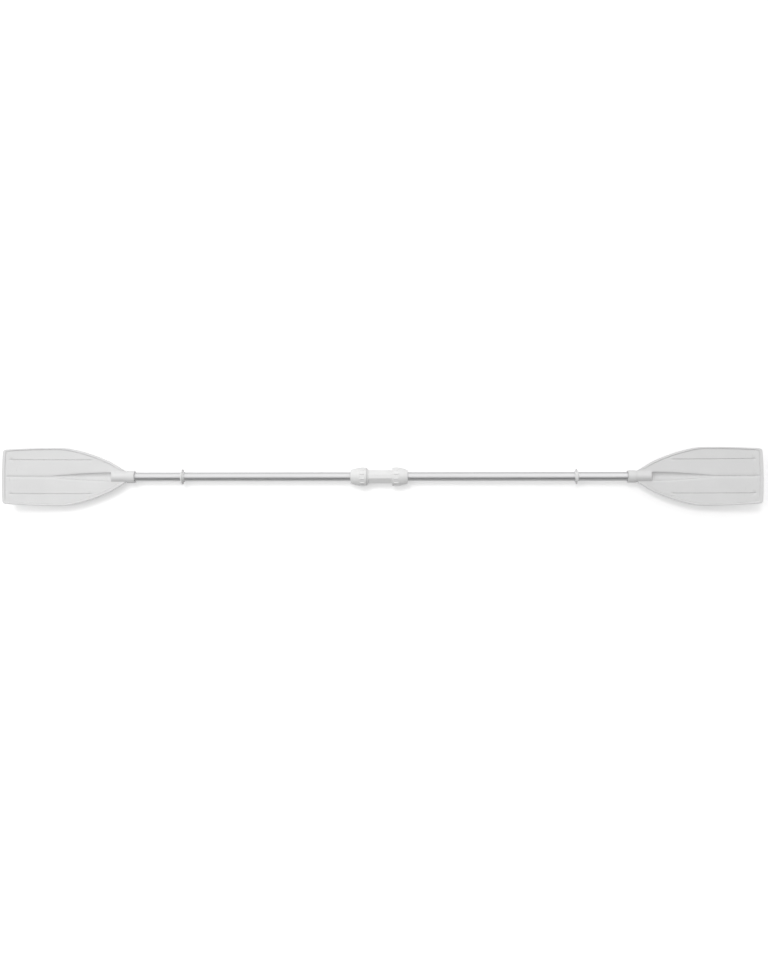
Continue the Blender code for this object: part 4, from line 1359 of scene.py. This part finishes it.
def light_sky(stage):
    """Light from all round, stronger from behind the oar, which shows as white itself."""
    world = bpy.data.worlds.new("White surroundings")
    bpy.context.scene.world = world
    world.use_nodes = True
    tree = world.node_tree
    tree.nodes.clear()
    place = add_node(tree, "TexCoord").outputs["Generated"]
    split = add_node(tree, "SeparateXYZ", {"Vector": place})
    lean = add_node(tree, "MapRange", {"Value": split.outputs["Y"], "From Min": -1.0,
                                       "To Min": stage.sky * (1 - stage.sky_lean),
                                       "To Max": stage.sky * (1 + stage.sky_lean)})
    level = add_node(tree, "MapRange", {"Value": seen_directly(tree),
                                        "To Min": lean.outputs["Result"], "To Max": 1.0})
    background = add_node(tree, "Background", {"Color": opaque((1.0, 1.0, 1.0)),
                                               "Strength": level.outputs["Result"]})
    add_node(tree, "OutputWorld", {"Surface": background.outputs["Background"]})


def card_material(name, kind, sockets):
    """A material of a single shader."""
    material, tree = blank_material(name)
    shader = add_node(tree, kind, sockets)
    add_node(tree, "OutputMaterial", {"Surface": shader.outputs[0]})
    return material


def gloss_card(name, stage, angle, width, material):
    """A long card that faces the shaft and only shows in gloss, where it paints a reflection.
    The angle is 0 over it.
    """
    place = (0, stage.card_distance * math.sin(angle),
             axis_height + stage.card_distance * math.cos(angle))
    deselect_all()
    bpy.ops.mesh.primitive_plane_add(size=1, location=place)
    card = bpy.context.object
    card.name = name
    card.scale = (stage.card_length, width, 1)
    card.rotation_euler = (-angle, 0, 0)
    card.data.materials.append(material)
    card.visible_camera = False
    card.visible_diffuse = False
    card.visible_shadow = False
    card.visible_transmission = False


def add_lamp(name, kind, place, strength):
    """A lamp that looks at the middle of the coupling and doesn't show in gloss."""
    bpy.ops.object.light_add(type=kind, location=place)
    lamp = bpy.context.object
    lamp.name = name
    lamp.visible_glossy = False
    lamp.data.energy = strength
    away = lamp.location - Vector((0, 0, axis_height))
    lamp.rotation_euler = away.to_track_quat("Z", "Y").to_euler()
    return lamp


def place_camera(stage):
    """Put the camera where the photograph was taken from."""
    sensor = 36.0
    far_limit = 100
    bpy.ops.object.camera_add()
    camera = bpy.context.object
    camera.name = "camera"
    camera.data.sensor_width = sensor
    camera.data.lens = (sensor / IMAGE_HEIGHT) * stage.view_distance / stage.metres_per_pixel
    camera.data.clip_end = far_limit
    elevation = stage.view_elevation
    right = (IMAGE_WIDTH / 2 - stage.coupling_column) * stage.metres_per_pixel
    up = -(IMAGE_HEIGHT / 2 - stage.coupling_row) * stage.metres_per_pixel
    target = Vector((right, up * math.sin(elevation), axis_height + up * math.cos(elevation)))
    camera.rotation_euler = (math.pi / 2 - elevation, 0, 0)
    camera.rotation_euler.rotate_axis("Y", stage.view_side)
    camera.rotation_euler.rotate_axis("Z", stage.view_roll)
    back = camera.rotation_euler.to_matrix() @ Vector((0, 0, 1))
    camera.location = target + stage.view_distance * back
    bpy.context.scene.camera = camera


class OAR_OT_stage(bpy.types.Operator):
    """Set up the floor, the light and the camera"""

    bl_idname = "oar.stage"
    bl_label = "Stage"

    def execute(self, context):
        stage = context.scene.oar_stage
        deselect_all()
        bpy.ops.mesh.primitive_plane_add(size=FLOOR_SIDE, location=(0, 0, -FLOOR_GAP))
        floor = context.object
        floor.name = "floor"
        floor.data.materials.append(floor_material(stage))
        light_sky(stage)

        # The dark flag card shows only in gloss: a painted dark reflection on the metal's near
        # side
        dark = card_material("Dark card", "BsdfPrincipled", {
            "Base Color": opaque([stage.flag_shade] * 3), "Roughness": 1.0})
        # The bright card glows and shows only in gloss: a painted highlight on the metal
        bright = card_material("Bright card", "Emission", {"Strength": stage.shine})
        gloss_card("flag_card", stage, stage.flag_angle, stage.flag_width, dark)
        gloss_card("shine_card", stage, stage.shine_angle, stage.shine_width, bright)

        key = add_lamp("key_lamp", "AREA", stage.key_place, stage.key_power)
        key.visible_camera = False
        key.data.shape = "RECTANGLE"
        key.data.size, key.data.size_y = stage.key_size
        far = add_lamp("far_lamp", "SUN", stage.far_place, stage.far_strength)
        far.data.angle = stage.far_size

        place_camera(stage)
        context.scene.view_settings.view_transform = "Standard"
        return {"FINISHED"}


OPERATORS = [
    OAR_OT_coupling_body,
    OAR_OT_coupling_nuts,
    OAR_OT_gland_rings,
    OAR_OT_shaft_tubes,
    OAR_OT_tube_plugs,
    OAR_OT_drip_rings,
    OAR_OT_blade_collars,
    OAR_OT_blades,
    OAR_OT_blade_rivets,
    OAR_OT_stage,
]


class OAR_PT_pieces(bpy.types.Panel):
    """Lists the oar's pieces"""

    bl_idname = "OAR_PT_pieces"
    bl_label = "Take-apart oar"
    bl_space_type = "VIEW_3D"
    bl_region_type = "UI"
    bl_category = "Oar"

    def draw(self, context):
        for operator in OPERATORS:
            self.layout.operator(operator.bl_idname)


def register():
    """Register the settings, the operators and the panel."""
    for name, group in SETTINGS.items():
        bpy.utils.register_class(group)
        setattr(bpy.types.Scene, name, PointerProperty(type=group))
    for operator in OPERATORS:
        bpy.utils.register_class(operator)
    bpy.utils.register_class(OAR_PT_pieces)


def unregister():
    """Take the add-on's classes and settings away again."""
    bpy.utils.unregister_class(OAR_PT_pieces)
    for operator in reversed(OPERATORS):
        bpy.utils.unregister_class(operator)
    for name, group in SETTINGS.items():
        delattr(bpy.types.Scene, name)
        bpy.utils.unregister_class(group)


def main():
    """Register, make every piece, and set up the stage."""
    register()
    bpy.ops.oar.coupling_body()
    bpy.ops.oar.coupling_nuts()
    bpy.ops.oar.gland_rings()
    bpy.ops.oar.shaft_tubes()
    bpy.ops.oar.tube_plugs()
    bpy.ops.oar.drip_rings()
    bpy.ops.oar.blade_collars()
    bpy.ops.oar.blades()
    bpy.ops.oar.blade_rivets()
    bpy.ops.oar.stage()
    deselect_all()


if __name__ == "__main__":
    main()
